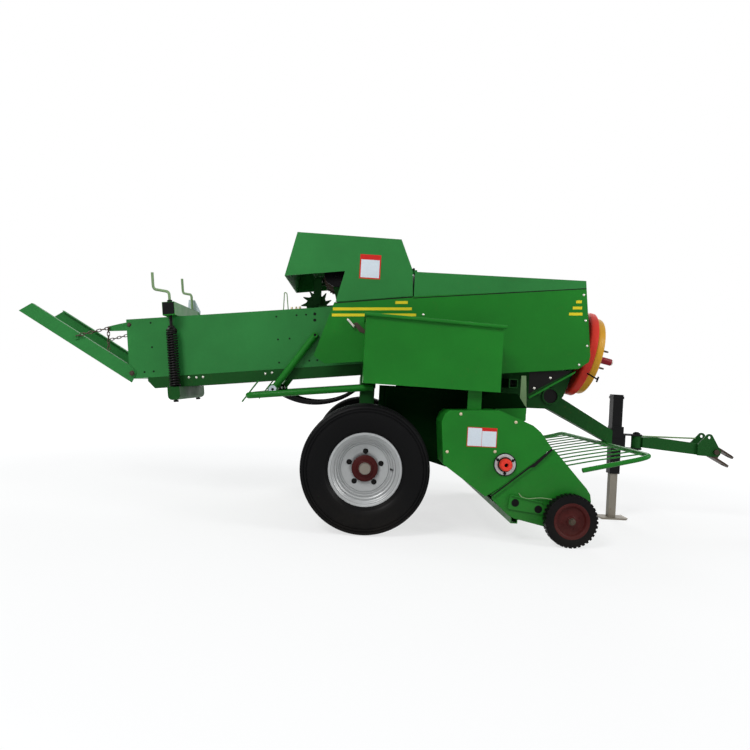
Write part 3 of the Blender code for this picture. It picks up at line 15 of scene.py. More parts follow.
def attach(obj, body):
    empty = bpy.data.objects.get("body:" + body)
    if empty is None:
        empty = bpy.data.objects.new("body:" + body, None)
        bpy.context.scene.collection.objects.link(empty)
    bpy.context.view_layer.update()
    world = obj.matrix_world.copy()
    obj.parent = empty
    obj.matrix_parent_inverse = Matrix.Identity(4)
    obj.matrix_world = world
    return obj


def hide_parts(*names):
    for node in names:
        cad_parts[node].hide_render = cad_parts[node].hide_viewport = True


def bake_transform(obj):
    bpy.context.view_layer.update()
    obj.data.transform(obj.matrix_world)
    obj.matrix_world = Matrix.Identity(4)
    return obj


bl_info = {
    "name": "Square Baler Dressing",
    "version": (1, 0, 0),
    "blender": (4, 5, 0),
    "location": "View3D > Sidebar > Baler",
    "description": "Paint, rubber, springs, chains, tines and fasteners for a square baler",
    "category": "Object",
}

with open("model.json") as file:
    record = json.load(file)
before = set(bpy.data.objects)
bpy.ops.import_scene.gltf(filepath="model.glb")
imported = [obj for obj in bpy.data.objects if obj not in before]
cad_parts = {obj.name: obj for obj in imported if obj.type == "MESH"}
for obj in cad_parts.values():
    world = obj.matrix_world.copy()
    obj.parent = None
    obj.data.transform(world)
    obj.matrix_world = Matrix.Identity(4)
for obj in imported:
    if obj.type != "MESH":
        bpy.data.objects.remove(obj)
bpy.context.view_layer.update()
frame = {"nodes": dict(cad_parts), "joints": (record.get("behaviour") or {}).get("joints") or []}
JOINTS = {joint["name"]: joint for joint in frame["joints"]}
AXLE_X = JOINTS["wheel_right_spin"]["pos_m"][0]
SIDES = (("right", -1.0), ("left", 1.0))
COATS = {}

# Main places, as in the part: x from the axle, and z
CHAMBER_REAR = (-1.599, 0.818)
CHAMBER_TILT = math.radians(7)
CHAMBER_HALF = 0.25
DRIVE_CENTRE = (1.572, 1.162)
DRIVE_TILT = math.radians(11.5)
AUGER_CENTRE = (0.810, 0.453)
REEL_CENTRE = (1.060, 0.240)
WHEEL_CENTRE = (0.0, 0.380)
TRACK_HALF = 0.84
GAUGE_CENTRE = (1.199, 0.1535)
BODY_HALF = 0.436
COVER_FACE = 0.932
SHEET_FACE = 0.915
YOKE_TOP = (-0.370, 1.181)
YOKE_FOOT = (-0.630, 0.803)
KNOTTER_SHAFT = (1.4367, 0.615)
CHUTE_PIVOT = (-1.581, 0.857)
CHUTE_TILT = math.radians(29.6)
TWINE_HALF = 0.115

# Looks that many pieces share
SHARP_ANGLE = math.radians(32)
SPECK = 0.04
RUST_COLOUR = (0.16, 0.07, 0.03)
DUST_COLOUR = (0.20, 0.17, 0.13)


def linear(red, green, blue):
    """An sRGB colour of 0 to 255 as linear values."""
    part = np.array([red, green, blue], float) / 255.0
    return tuple(float(v) for v in np.where(part <= 0.04045, part / 12.92, ((part + 0.055) / 1.055) ** 2.4))


def at(x, y, z):
    """A side-view place and its y as a packed-frame point."""
    return np.array([x + AXLE_X, y, z])


def chamber_place(s, h):
    """Side-view place of a point s along the chamber's floor and h above it."""
    c, t = math.cos(CHAMBER_TILT), math.sin(CHAMBER_TILT)
    return CHAMBER_REAR[0] + s * c - h * t, CHAMBER_REAR[1] + s * t + h * c


# Shapes: each is (points, list of faces), worked out as whole arrays.

def grid_faces(rows, columns, wrap_rows=False, wrap_columns=True):
    """Quads of a grid of rows by columns points, joined round where wrapped."""
    r = np.arange(rows if wrap_rows else rows - 1)[:, None]
    c = np.arange(columns if wrap_columns else columns - 1)[None, :]
    here = r * columns + c
    across = r * columns + (c + 1) % columns
    below = ((r + 1) % rows) * columns + c
    corner = ((r + 1) % rows) * columns + (c + 1) % columns
    return np.stack([here, across, corner, below], -1).reshape(-1, 4).tolist()


def gathered(shapes):
    """Several shapes as one list of points and faces."""
    points = []
    faces = []
    count = 0
    for some_points, some_faces in shapes:
        points.append(np.asarray(some_points, float))
        faces += [[index + count for index in face] for face in some_faces]
        count += len(some_points)
    return np.concatenate(points), faces


def lathe(profile, sides, axis="Y", closed=False):
    """A profile of (radius r, distance t) turned round an axis: point(k, a) = t_k along the axis
    and r_k (cos a, sin a) across it."""
    profile = np.asarray(profile, float)
    angle = np.linspace(0.0, math.tau, sides, endpoint=False)
    r = profile[:, 0, None]
    t = np.repeat(profile[:, 1, None], sides, 1)
    one, two = r * np.cos(angle), r * np.sin(angle)
    order = {"X": (t, one, two), "Y": (one, t, two), "Z": (one, two, t)}[axis]
    return np.stack(order, -1).reshape(-1, 3), grid_faces(len(profile), sides, closed, True)


def cylinder(radius, low, high, sides, axis="Y"):
    """A round bar from low to high along an axis, with flat ends."""
    return lathe([(0.0, low), (radius, low), (radius, high), (0.0, high)], sides, axis)


def tube(path, radius, sides=10, across=(0.0, 1.0, 0.0), flat=1.0, loop=False):
    """A round bar along a path p(t): p + r(t) (flat cos a e1 + sin a e2), where e1 is `across`
    less its share along the path's tangent, and e2 = tangent x e1."""
    path = np.asarray(path, float)
    if loop:
        tangent = np.roll(path, -1, 0) - np.roll(path, 1, 0)
    else:
        tangent = np.gradient(path, axis=0)
    tangent /= np.linalg.norm(tangent, axis=1, keepdims=True)
    first = np.broadcast_to(np.asarray(across, float), path.shape)
    first = first - (first * tangent).sum(1, keepdims=True) * tangent
    first /= np.linalg.norm(first, axis=1, keepdims=True)
    second = np.cross(tangent, first)
    angle = np.linspace(0.0, math.tau, sides, endpoint=False)[None, :, None]
    r = np.broadcast_to(np.asarray(radius, float), (len(path),))[:, None, None]
    ring = flat * np.cos(angle) * first[:, None] + np.sin(angle) * second[:, None]
    points = path[:, None] + r * ring
    faces = grid_faces(len(path), sides, loop, True)
    if not loop:
        faces.append(list(range(sides))[::-1])
        faces.append(list(range((len(path) - 1) * sides, len(path) * sides)))
    return points.reshape(-1, 3), faces


def prism(outline, low, high, axis="Y"):
    """A flat outline carried straight from low to high along an axis, with both ends closed."""
    outline = np.asarray(outline, float)
    count = len(outline)
    t = np.repeat([low, high], count)
    a, b = np.tile(outline, (2, 1)).T
    order = {"X": (t, a, b), "Y": (a, t, b), "Z": (a, b, t)}[axis]
    ends = [list(range(count)), list(range(count, 2 * count))]
    return np.stack(order, -1), grid_faces(2, count, False, True) + ends


def rounded(x, z, radius, steps=5):
    """Outline of a rectangle between pairs of limits, its corners quarter circles."""
    turn = np.linspace(0.0, math.pi / 2, steps)
    corners = ((x[1], z[1], 0, -1, -1), (x[0], z[1], 1, 1, -1),
               (x[0], z[0], 2, 1, 1), (x[1], z[0], 3, -1, 1))
    rows = [np.stack([cx + sx * radius + radius * np.cos(turn + q * math.pi / 2),
                      cz + sz * radius + radius * np.sin(turn + q * math.pi / 2)], 1)
            for cx, cz, q, sx, sz in corners]
    return np.concatenate(rows)


def ring_of(radius, sides):
    """Outline of a circle or regular polygon; the radius may differ from corner to corner."""
    angle = math.tau * np.arange(sides) / sides
    return np.stack([radius * np.cos(angle), radius * np.sin(angle)], 1)


def strip(x0, z0, x1, z1, half):
    """Outline of a straight band between two places, reaching `half` above and below them."""
    return [(x0, z0 - half), (x1, z1 - half), (x1, z1 + half), (x0, z0 + half)]


def copies(shape, moves):
    """One shape repeated: every 4x4 move applied to all its points at once."""
    points, faces = np.asarray(shape[0], float), shape[1]
    moves = np.array([np.array(move) for move in moves], float)
    spread = points @ moves[:, :3, :3].transpose(0, 2, 1) + moves[:, None, :3, 3]
    steps = np.arange(len(moves)) * len(points)
    return spread.reshape(-1, 3), [[i + int(step) for i in face] for step in steps for face in faces]


def facing(point, normal, spin=0.0):
    """The move that takes a shape drawn along +Z to a point, looking along a normal."""
    z = np.asarray(normal, float) / np.linalg.norm(normal)
    side = np.array([0.0, 0.0, 1.0]) if abs(z[2]) < 0.9 else np.array([1.0, 0.0, 0.0])
    x = np.cross(side, z)
    x /= np.linalg.norm(x)
    turn = Matrix(np.stack([x, np.cross(z, x), z], 1).tolist()).to_4x4()
    return Matrix.Translation([float(v) for v in point]) @ turn @ Matrix.Rotation(spin, 4, "Z")


def shifted(shape, x, y, z):
    """A shape moved."""
    return np.asarray(shape[0], float) + (x, y, z), shape[1]


def laid(shape, x=0.0, z=0.0, tilt=0.0, y=0.0):
    """A shape turned about Y by the tilt, then put at a side-view place."""
    c, s = math.cos(tilt), math.sin(tilt)
    turn = np.array([[c, 0.0, s], [0.0, 1.0, 0.0], [-s, 0.0, c]])
    return np.asarray(shape[0], float) @ turn.T + (x + AXLE_X, y, z), shape[1]


def turned(profile, sides, side, x, z, y, closed=False):
    """A profile turned about the cross axis at a side-view place, drawn from y towards one side."""
    return laid(lathe(np.array(profile) * (1.0, side), sides, closed=closed), x, z, 0.0, y)


def sheet(outline, side, inner, outer):
    """A side-view outline as a plate on one side, between two distances from the middle."""
    return laid(prism(outline, *sorted((side * inner, side * outer))))


def on_chamber(shape):
    """A shape drawn as (s along the floor, y, h above it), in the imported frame."""
    return laid(shape, *CHAMBER_REAR, -CHAMBER_TILT)


def on_drive(shape):
    """A shape drawn along the flywheel's line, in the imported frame."""
    return laid(shape, *DRIVE_CENTRE, DRIVE_TILT)


def smooth_path(points, steps=8):
    """A Catmull-Rom curve through the points: each span is a cubic of its four neighbours."""
    points = np.asarray(points, float)
    padded = np.vstack([2 * points[0] - points[1], points, 2 * points[-1] - points[-2]])
    a, b, c, d = padded[:-3, None], padded[1:-2, None], padded[2:-1, None], padded[3:, None]
    t = np.linspace(0.0, 1.0, steps, endpoint=False)[None, :, None]
    curve = 0.5 * (2 * b + (c - a) * t + (2 * a - 5 * b + 4 * c - d) * t ** 2
                   + (3 * b - a - 3 * c + d) * t ** 3)
    return np.vstack([curve.reshape(-1, points.shape[1]), points[-1:]])


def rounded_path(points, radius, steps=6):
    """Straight runs whose corners are quadratic curves that start `radius` before each corner."""
    points = np.asarray(points, float)
    out = [points[:1]]
    t = np.linspace(0.0, 1.0, steps)[:, None]
    for before, corner, after in zip(points[:-2], points[1:-1], points[2:]):
        one = corner + (before - corner) * min(0.45, radius / np.linalg.norm(before - corner))
        two = corner + (after - corner) * min(0.45, radius / np.linalg.norm(after - corner))
        out.append((1 - t) ** 2 * one + 2 * t * (1 - t) * corner + t ** 2 * two)
    out.append(points[-1:])
    return np.vstack(out)


def dense(path, step):
    """A path with extra points so that no span is much longer than the step."""
    path = np.asarray(path, float)
    length = np.concatenate([[0.0], np.cumsum(np.linalg.norm(np.diff(path, axis=0), axis=1))])
    extra = np.arange(0.0, length[-1], step)
    extra = extra[np.abs(extra[:, None] - length).min(1) > 0.2 * step]
    places = np.sort(np.concatenate([length, extra]))
    return np.stack([np.interp(places, length, column) for column in path.T], 1)


# Finishes

def coat(name, colour, roughness, metallic=0.0, spread=0.10, bump=0.03, bump_scale=260.0,
         dust=0.0, dust_height=0.5, gloss=0.0, rust=0.0, edge=0.0, shine=0.12):
    """Paint, rubber or metal: broad and fine colour noise, dust that fades upwards from the ground,
    specks of rust, patchy gloss, a fine bump and softly rounded edges, on Object coordinates."""
    made = bpy.data.materials.new(name)
    made.use_nodes = True
    nodes, links = made.node_tree.nodes, made.node_tree.links
    shader = nodes["Principled BSDF"]
    shader.inputs["Metallic"].default_value = metallic
    shader.inputs["Specular IOR Level"].default_value = shine
    shader.inputs["Coat Weight"].default_value = gloss
    shader.inputs["Coat Roughness"].default_value = 0.15
    where = nodes.new("ShaderNodeTexCoord").outputs["Object"]

    def noise(scale, detail, rough=0.55):
        node = nodes.new("ShaderNodeTexNoise")
        for socket, number in (("Scale", scale), ("Detail", detail), ("Roughness", rough)):
            node.inputs[socket].default_value = number
        links.new(where, node.inputs["Vector"])
        return node.outputs["Fac"]

    def ranged(value, low, high, to_low, to_high):
        node = nodes.new("ShaderNodeMapRange")
        sockets = ("From Min", "From Max", "To Min", "To Max")
        for socket, number in zip(sockets, (low, high, to_low, to_high)):
            node.inputs[socket].default_value = number
        links.new(value, node.inputs["Value"])
        return node.outputs["Result"]

    def blended(factor, one, two, mode="MIX"):
        node = nodes.new("ShaderNodeMix")
        node.data_type = "RGBA"
        node.blend_type = mode
        for socket, value in ((node.inputs[0], factor), (node.inputs[6], one), (node.inputs[7], two)):
            if isinstance(value, bpy.types.NodeSocket):
                links.new(value, socket)
            else:
                socket.default_value = value if isinstance(value, float) else (*value, 1.0)
        return node.outputs[2]

    dark = tuple(c * (1.0 - spread) for c in colour)
    light = tuple(min(1.0, c * (1.0 + spread)) for c in colour)
    tone = blended(ranged(noise(2.2, 4.0), 0.35, 0.65, 0.0, 1.0), dark, light)
    fine = ranged(noise(90.0, 3.0, 0.7), 0.3, 0.7, 1.0 - SPECK, 1.0 + SPECK)
    grey = nodes.new("ShaderNodeCombineColor")
    for channel in ("Red", "Green", "Blue"):
        links.new(fine, grey.inputs[channel])
    tone = blended(1.0, tone, grey.outputs["Color"], "MULTIPLY")
    if rust:
        tone = blended(ranged(noise(26.0, 6.0, 0.75), 0.60, 0.70, 0.0, rust), tone, RUST_COLOUR)
    if dust:
        height = nodes.new("ShaderNodeSeparateXYZ")
        links.new(where, height.inputs["Vector"])
        patch = nodes.new("ShaderNodeMath")
        patch.operation = "MULTIPLY"
        links.new(ranged(height.outputs["Z"], 0.0, dust_height, dust, 0.0), patch.inputs[0])
        links.new(ranged(noise(7.0, 5.0, 0.65), 0.35, 0.7, 0.15, 1.0), patch.inputs[1])
        tone = blended(patch.outputs["Value"], tone, DUST_COLOUR)
    links.new(tone, shader.inputs["Base Color"])
    links.new(ranged(noise(9.0, 4.0), 0.3, 0.7, roughness - 0.06, roughness + 0.08),
              shader.inputs["Roughness"])
    relief = nodes.new("ShaderNodeBump")
    relief.inputs["Strength"].default_value = bump
    relief.inputs["Distance"].default_value = 0.002
    links.new(noise(bump_scale, 2.0), relief.inputs["Height"])
    if edge:
        soft = nodes.new("ShaderNodeBevel")
        soft.samples = 4
        soft.inputs["Radius"].default_value = edge
        links.new(soft.outputs["Normal"], relief.inputs["Normal"])
    links.new(relief.outputs["Normal"], shader.inputs["Normal"])
    COATS[name] = made


def meshed(name, shapes, merge=False):
    """The mesh of some shapes, its faces turned outwards and, if asked, its double points merged."""
    points, faces = gathered(shapes)
    mesh = bpy.data.meshes.new(name)
    mesh.from_pydata(points.tolist(), [], faces)
    work = bmesh.new()
    work.from_mesh(mesh)
    if merge:
        bmesh.ops.remove_doubles(work, verts=work.verts, dist=1e-6)
    bmesh.ops.recalc_face_normals(work, faces=work.faces)
    work.to_mesh(mesh)
    work.free()
    return mesh


def smoothed(mesh):
    """Smooth shading that breaks at sharp edges."""
    mesh.shade_smooth()
    mesh.set_sharp_from_angle(angle=SHARP_ANGLE)


def put(name, shapes, finish, body, stands_for=(), bevel=0.0):
    """A new piece from its shapes: merged, turned outwards, painted, riding on its body and
    standing for CAD nodes. A piece with no body name is left unattached here."""
    mesh = meshed(name, shapes, merge=True)
    mesh.materials.append(COATS[finish])
    smoothed(mesh)
    obj = bpy.data.objects.new(name, mesh)
    bpy.context.scene.collection.objects.link(obj)
    if bevel:
        edge = obj.modifiers.new("rounded_edges", "BEVEL")
        edge.width = bevel
        edge.segments = 2
        edge.limit_method = "ANGLE"
        edge.angle_limit = SHARP_ANGLE
    if body:
        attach(obj, body)
    if stands_for:
        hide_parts(*stands_for)
    return obj


def drilled(obj, shapes):
    """A piece less some shapes: an exact boolean, applied."""
    cutter = bpy.data.objects.new("cutter", meshed("cutter", shapes))
    bpy.context.scene.collection.objects.link(cutter)
    step = obj.modifiers.new("holes", "BOOLEAN")
    step.operation = "DIFFERENCE"
    step.solver = "EXACT"
    step.object = cutter
    bpy.context.view_layer.update()
    cut = bpy.data.meshes.new_from_object(obj.evaluated_get(bpy.context.evaluated_depsgraph_get()))
    obj.modifiers.remove(step)
    bpy.data.objects.remove(cutter)
    obj.data = cut
    smoothed(cut)
    return obj


def carved(name, node, cutters, finish, body):
    """A CAD node's own shape as a closed mesh, less some shapes, standing for that node."""
    source = frame["nodes"][node]
    mesh = source.data.copy()
    mesh.transform(source.matrix_world)
    points = np.empty(3 * len(mesh.vertices))
    mesh.vertices.foreach_get("co", points)
    faces = [list(face.vertices) for face in mesh.polygons]
    return drilled(put(name, [(points.reshape(-1, 3), faces)], finish, body, [node]), cutters)


def repainted(nodes, finish):
    """CAD nodes that keep their shape take a better finish."""
    for name in nodes:
        for slot in frame["nodes"][name].material_slots:
            slot.material = COATS[finish]


# Small parts drawn along +Z from their seat

def hex_bolt(radius, height):
    """A washer, and a hexagon head with a chamfered top."""
    washer = cylinder(radius * 1.35, 0.0, radius * 0.18, 16, "Z")
    head = lathe([(0.0, radius * 0.1), (radius, radius * 0.1), (radius, height * 0.85),
                  (radius * 0.86, height), (0.0, height)], 6, "Z")
    return gathered([washer, head])


def dome_screw(radius):
    """A button head: a quarter ellipse turned round its axis."""
    angle = np.linspace(0.0, math.pi / 2, 6)
    profile = np.stack([radius * np.cos(angle), 0.55 * radius * np.sin(angle)], 1)
    return lathe(np.vstack([[(0.0, 0.0)], profile]), 14, "Z")


def hole_disc(radius):
    """A shallow disc that stands for a drilled hole; in near-black it is the hole's painted shade."""
    return cylinder(radius, -0.0005, 0.0004, 14, "Z")


def chain(start, end, count, wire):
    """Oval links between two points, every other one turned a quarter round the chain's line."""
    width = 0.0078
    span = end - start
    half = np.linalg.norm(span) / count / 2 + wire - width
    bend = np.linspace(-math.pi / 2, math.pi / 2, 7)
    right = np.stack([half + width * np.cos(bend), width * np.sin(bend)], 1)
    loop = np.vstack([right, -right])
    level = 0 * loop[:, 0]
    flat = tube(np.stack([loop[:, 0], loop[:, 1], level], 1), wire, 8, (0.0, 0.0, 1.0), loop=True)
    upright = tube(np.stack([loop[:, 0], level, loop[:, 1]], 1), wire, 8, (0.0, 1.0, 0.0), loop=True)
    x = span / np.linalg.norm(span)
    z = np.cross(x, (0.0, 1.0, 0.0))
    z /= np.linalg.norm(z)
    turn = Matrix(np.stack([x, np.cross(z, x), z], 1).tolist()).to_4x4()
    moves = [Matrix.Translation((start + span * (i + 0.5) / count).tolist()) @ turn for i in range(count)]
    return gathered([copies(flat, moves[0::2]), copies(upright, moves[1::2])])


def circle_spots(centre, radius, y, count, start):
    """Places spread evenly on a circle round a side-view centre, from `start` of a turn on."""
    angles = math.tau * (np.arange(count) / count + start)
    return [at(centre[0] + radius * math.cos(a), y, centre[1] + radius * math.sin(a)) for a in angles]


def row_of(name, shape, spots, normal, finish, body):
    """Copies of one fastener at spots of one face, each turned a little differently."""
    moves = [facing(spot, normal, 0.4 + 1.7 * index) for index, spot in enumerate(spots)]
    return put(name, [copies(shape, moves)], finish, body)


class BalerColours(bpy.types.PropertyGroup):
    """Colours of the paint, rubber, steel and floor."""

    green: bpy.props.FloatVectorProperty(
        name="Green paint", description="Sheet metal and frame", subtype="COLOR",
        default=linear(26, 116, 32))
    hood_green: bpy.props.FloatVectorProperty(
        name="Hood green", description="Hoods, bale chamber and chute", subtype="COLOR",
        default=linear(42, 120, 56))
    # A darker copy of the green: partly the castings' own paint, partly painted shade on low and inner
    # parts.
    deep_green_with_shade: bpy.props.FloatVectorProperty(
        name="Deep green paint", description="Castings and inner frame", subtype="COLOR",
        default=linear(18, 72, 24))
    pale_green: bpy.props.FloatVectorProperty(
        name="Pale green paint", description="Tension cranks and hangers", subtype="COLOR",
        default=linear(128, 156, 112))
    yellow: bpy.props.FloatVectorProperty(
        name="Yellow paint", description="Flywheel", subtype="COLOR", default=linear(214, 158, 38))
    red: bpy.props.FloatVectorProperty(
        name="Red paint", description="Flywheel guard and auger caps", subtype="COLOR",
        default=linear(234, 60, 46))
    maroon: bpy.props.FloatVectorProperty(
        name="Maroon paint", description="Hubs and gauge wheels", subtype="COLOR",
        default=linear(66, 14, 14))
    stripe: bpy.props.FloatVectorProperty(
        name="Stripes", description="Decorative stripes", subtype="COLOR", default=linear(226, 205, 44))
    rubber: bpy.props.FloatVectorProperty(
        name="Rubber", description="Tyres", subtype="COLOR", default=linear(9, 9, 10))


class BalerSizes(bpy.types.PropertyGroup):
    """Sizes of the dressed pieces."""

    tyre_groove: bpy.props.FloatProperty(
        name="Tyre groove", description="Depth of the grooves between tread ribs", default=0.012,
        min=0.004, max=0.02, unit="LENGTH")
    spring_turns: bpy.props.IntProperty(
        name="Spring turns", description="Turns of each tension spring", default=22, min=8, max=26)
    spring_wire: bpy.props.FloatProperty(
        name="Spring wire", description="Radius of the tension spring's wire", default=0.0058,
        min=0.003, max=0.008, unit="LENGTH")
    tine_wire: bpy.props.FloatProperty(
        name="Tine wire", description="Radius of a pickup tine", default=0.0030, min=0.002,
        max=0.005, unit="LENGTH")
    band_steel: bpy.props.FloatProperty(
        name="Band steel", description="Thickness of a pickup band", default=0.0035, min=0.002,
        max=0.006, unit="LENGTH")
    link_wire: bpy.props.FloatProperty(
        name="Chain wire", description="Radius of the chute chain's wire", default=0.0030,
        min=0.002, max=0.004, unit="LENGTH")
    rod_radius: bpy.props.FloatProperty(
        name="Windguard rod", description="Radius of a windguard rod", default=0.0045, min=0.003,
        max=0.007, unit="LENGTH")


class BALER_OT_stage(bpy.types.Operator):
    """Pale floor, soft lamps and the camera at the photograph's angle"""
    bl_idname = "baler.stage"
    bl_label = "Stage"

    def execute(self, context):
        scene = context.scene
        scene.view_settings.view_transform = "Standard"
        self.light_surroundings(scene)
        self.lay_floor(scene)
        self.hang_lamps(scene)
        self.set_camera(scene)
        return {"FINISHED"}

    def light_surroundings(self, scene):
        """Soft light from all round, which the camera and mirrored rays see as white."""
        world = bpy.data.worlds.new("pale_surroundings")
        scene.world = world
        world.use_nodes = True
        nodes, links = world.node_tree.nodes, world.node_tree.links
        nodes.clear()
        out = nodes.new("ShaderNodeOutputWorld")
        mixed = nodes.new("ShaderNodeMixShader")
        soft, white = nodes.new("ShaderNodeBackground"), nodes.new("ShaderNodeBackground")
        soft.inputs["Color"].default_value = (0.90, 0.95, 1.0, 1.0)
        soft.inputs["Strength"].default_value = 0.30
        white.inputs["Color"].default_value = (1.0, 1.0, 1.0, 1.0)
        links.new(self.seen(nodes, links), mixed.inputs["Fac"])
        links.new(soft.outputs[0], mixed.inputs[1])
        links.new(white.outputs[0], mixed.inputs[2])
        links.new(mixed.outputs[0], out.inputs["Surface"])

    def lay_floor(self, scene):
        """A wide pale floor that keeps the shadows and fades to white with distance."""
        ground = bpy.data.materials.new("pale_floor")
        ground.use_nodes = True
        nodes, links = ground.node_tree.nodes, ground.node_tree.links
        shader = nodes["Principled BSDF"]
        shader.inputs["Base Color"].default_value = (0.86, 0.86, 0.86, 1.0)
        shader.inputs["Roughness"].default_value = 0.95
        shader.inputs["Specular IOR Level"].default_value = 0.0
        glow = nodes.new("ShaderNodeEmission")
        glow.inputs["Strength"].default_value = 1.12
        both = nodes.new("ShaderNodeMixShader")
        away = nodes.new("ShaderNodeVectorMath")
        away.operation = "LENGTH"
        links.new(nodes.new("ShaderNodeTexCoord").outputs["Object"], away.inputs[0])
        fade = nodes.new("ShaderNodeMapRange")
        for socket, number in (("From Min", 3.2), ("From Max", 7.0), ("To Min", 0.62), ("To Max", 1.0)):
            fade.inputs[socket].default_value = number
        links.new(away.outputs["Value"], fade.inputs["Value"])
        share = nodes.new("ShaderNodeMath")
        share.operation = "MULTIPLY"
        links.new(self.seen(nodes, links), share.inputs[0])
        links.new(fade.outputs["Result"], share.inputs[1])
        links.new(share.outputs["Value"], both.inputs["Fac"])
        links.new(shader.outputs[0], both.inputs[1])
        links.new(glow.outputs[0], both.inputs[2])
        links.new(both.outputs[0], nodes["Material Output"].inputs["Surface"])
        half = 40.0
        points, faces = prism([(-half, -half), (half, -half), (half, half), (-half, half)],
                              -0.05, 0.0, "Z")
        mesh = bpy.data.meshes.new("floor")
        mesh.from_pydata(points.tolist(), [], faces)
        mesh.materials.append(ground)
        floor = bpy.data.objects.new("floor", mesh)
        scene.collection.objects.link(floor)

    @staticmethod
    def hang_lamps(scene):
        """Four broad round lamps, each aimed at a place of the machine."""
        for name, place, aim, size, power in (
                ("key_lamp", (-3.5, -6.0, 6.0), (0.0, 0.0, 0.9), 3.0, 300.0),
                ("front_lamp", (6.0, -3.5, 4.0), (0.8, 0.0, 0.7), 3.0, 170.0),
                ("rear_lamp", (-6.0, 2.5, 4.5), (-0.5, 0.0, 0.9), 3.0, 110.0),
                ("left_lamp", (2.0, 6.5, 5.0), (0.2, 0.0, 0.8), 3.5, 190.0)):
            lamp = bpy.data.lights.new(name, "AREA")
            lamp.shape = "DISK"
            lamp.size = size
            lamp.energy = power
            obj = bpy.data.objects.new(name, lamp)
            scene.collection.objects.link(obj)
            obj.matrix_world = facing(place, np.array(place) - np.array(aim))

    @staticmethod
    def set_camera(scene):
        """The camera at the photograph's place, angle and focal length."""
        lens = bpy.data.cameras.new("camera")
        lens.lens = 32.11
        lens.sensor_width = 36.0
        lens.dof.use_dof = False
        camera = bpy.data.objects.new("camera", lens)
        scene.collection.objects.link(camera)
        yaw, pitch, roll = (math.radians(v) for v in (1.686, 0.523, 3.2))
        ahead = np.array([math.sin(yaw) * math.cos(pitch), math.cos(yaw) * math.cos(pitch),
                          math.sin(pitch)])
        right = np.array([math.cos(yaw), -math.sin(yaw), 0.0])
        up = np.cross(right, ahead)
        x = math.cos(roll) * right + math.sin(roll) * up
        y = -math.sin(roll) * right + math.cos(roll) * up
        turn = Matrix(np.stack([x, y, -ahead], 1).tolist()).to_4x4()
        camera.matrix_world = Matrix.Translation(at(-0.0864, -4.8, 0.8945).tolist()) @ turn
        scene.camera = camera

    @staticmethod
    def seen(nodes, links):
        """A factor that is 1 for camera, glossy and transmission rays, else 0."""
        path = nodes.new("ShaderNodeLightPath")
        value = path.outputs["Is Camera Ray"]
        for name in ("Is Glossy Ray", "Is Transmission Ray"):
            either = nodes.new("ShaderNodeMath")
            either.operation = "MAXIMUM"
            links.new(value, either.inputs[0])
            links.new(path.outputs[name], either.inputs[1])
            value = either.outputs["Value"]
        return value


class BALER_OT_paint(bpy.types.Operator):
    """Paint for the sheet metal, frame, castings and steel whose solids keep their shape"""
    bl_idname = "baler.paint"
    bl_label = "Paint and finishes"

    def execute(self, context):
        tint = context.scene.baler_colours
        coat("green_paint", tint.green, 0.40, gloss=0.06, dust=0.12, rust=0.08, edge=0.002)
        coat("hood_green", tint.hood_green, 0.40, gloss=0.10, rust=0.06, edge=0.002)
        # Deep green: a darker copy of the green, partly painted shade for low and inner parts.
        coat("deep_green_paint", tint.deep_green_with_shade, 0.50, dust=0.15, rust=0.15, edge=0.002)
        coat("pale_green_paint", tint.pale_green, 0.45, rust=0.20, spread=0.15)
        # Near-black green for the feeder housing: painted shade of the machine's underside.
        coat("feeder_green", linear(7, 32, 10), 0.60, rust=0.10, shine=0.0)
        coat("black_paint", linear(7, 7, 9), 0.30, gloss=0.05, rust=0.04, edge=0.002, shine=0.10)
        coat("spring_black", linear(13, 11, 11), 0.40, rust=0.08)
        coat("dark_steel", linear(72, 62, 54), 0.45, 0.7, rust=0.5, spread=0.2, edge=0.0015)
        coat("bright_steel", linear(196, 194, 186), 0.30, 0.85, rust=0.10, shine=0.5)
        coat("zinc", linear(206, 190, 160), 0.40, 0.3, spread=0.2, shine=0.4)
        coat("wheel_silver", linear(178, 180, 180), 0.34, 0.25, dust=0.15, dust_height=0.6, rust=0.05,
             shine=0.4)
        coat("leg_steel", linear(132, 126, 116), 0.42, 0.4, rust=0.35, dust=0.2, dust_height=0.25)
        coat("maroon_paint", tint.maroon, 0.45, dust=0.10, rust=0.15)
        coat("yellow_paint", tint.yellow, 0.38, gloss=0.1, rust=0.08)
        coat("red_paint", tint.red, 0.38, gloss=0.1, rust=0.06)
        coat("dark_red", linear(138, 20, 34), 0.35, gloss=0.1)
        coat("tyre_rubber", tint.rubber, 0.40, spread=0.2, bump=0.10, bump_scale=160.0, dust=0.05,
             dust_height=0.3, shine=0.08)
        # Near-black for discs that stand for holes and recesses: painted shade.
        coat("hole_black", (0.004, 0.004, 0.004), 0.8)
        coat("stripe_yellow", tint.stripe, 0.40, spread=0.04)
        coat("label_white", linear(218, 227, 236), 0.42, spread=0.03)
        coat("label_red", linear(206, 44, 38), 0.42, spread=0.03)
        # The feeder housing takes the near-black green of painted shade.
        repainted(["feeder_housing"], "feeder_green")
        repainted(["tension_bar_top", "side_shield_right", "side_shield_left", "twine_box", "twine_lid",
                   "pickup_cover_right", "pickup_cover_left", "pickup_sheet_right",
                   "pickup_sheet_left"], "green_paint")
        repainted(["bale_chamber", "bale_chute", "knotter_hood", "front_hood"], "hood_green")
        # These low and inner parts take the darker green, partly as painted shade.
        repainted(["meter_wheel", "meter_arm", "axle_frame", "gearbox", "drawbar", "front_cradle",
                   "tongue", "tension_bar_bottom", "chamber_rail_right", "chamber_rail_left"],
                  "deep_green_paint")
        repainted(["jack_tube"], "black_paint")
        repainted(["hitch_clevis"], "dark_steel")
        repainted(["jack_leg"], "leg_steel")
        return {"FINISHED"}


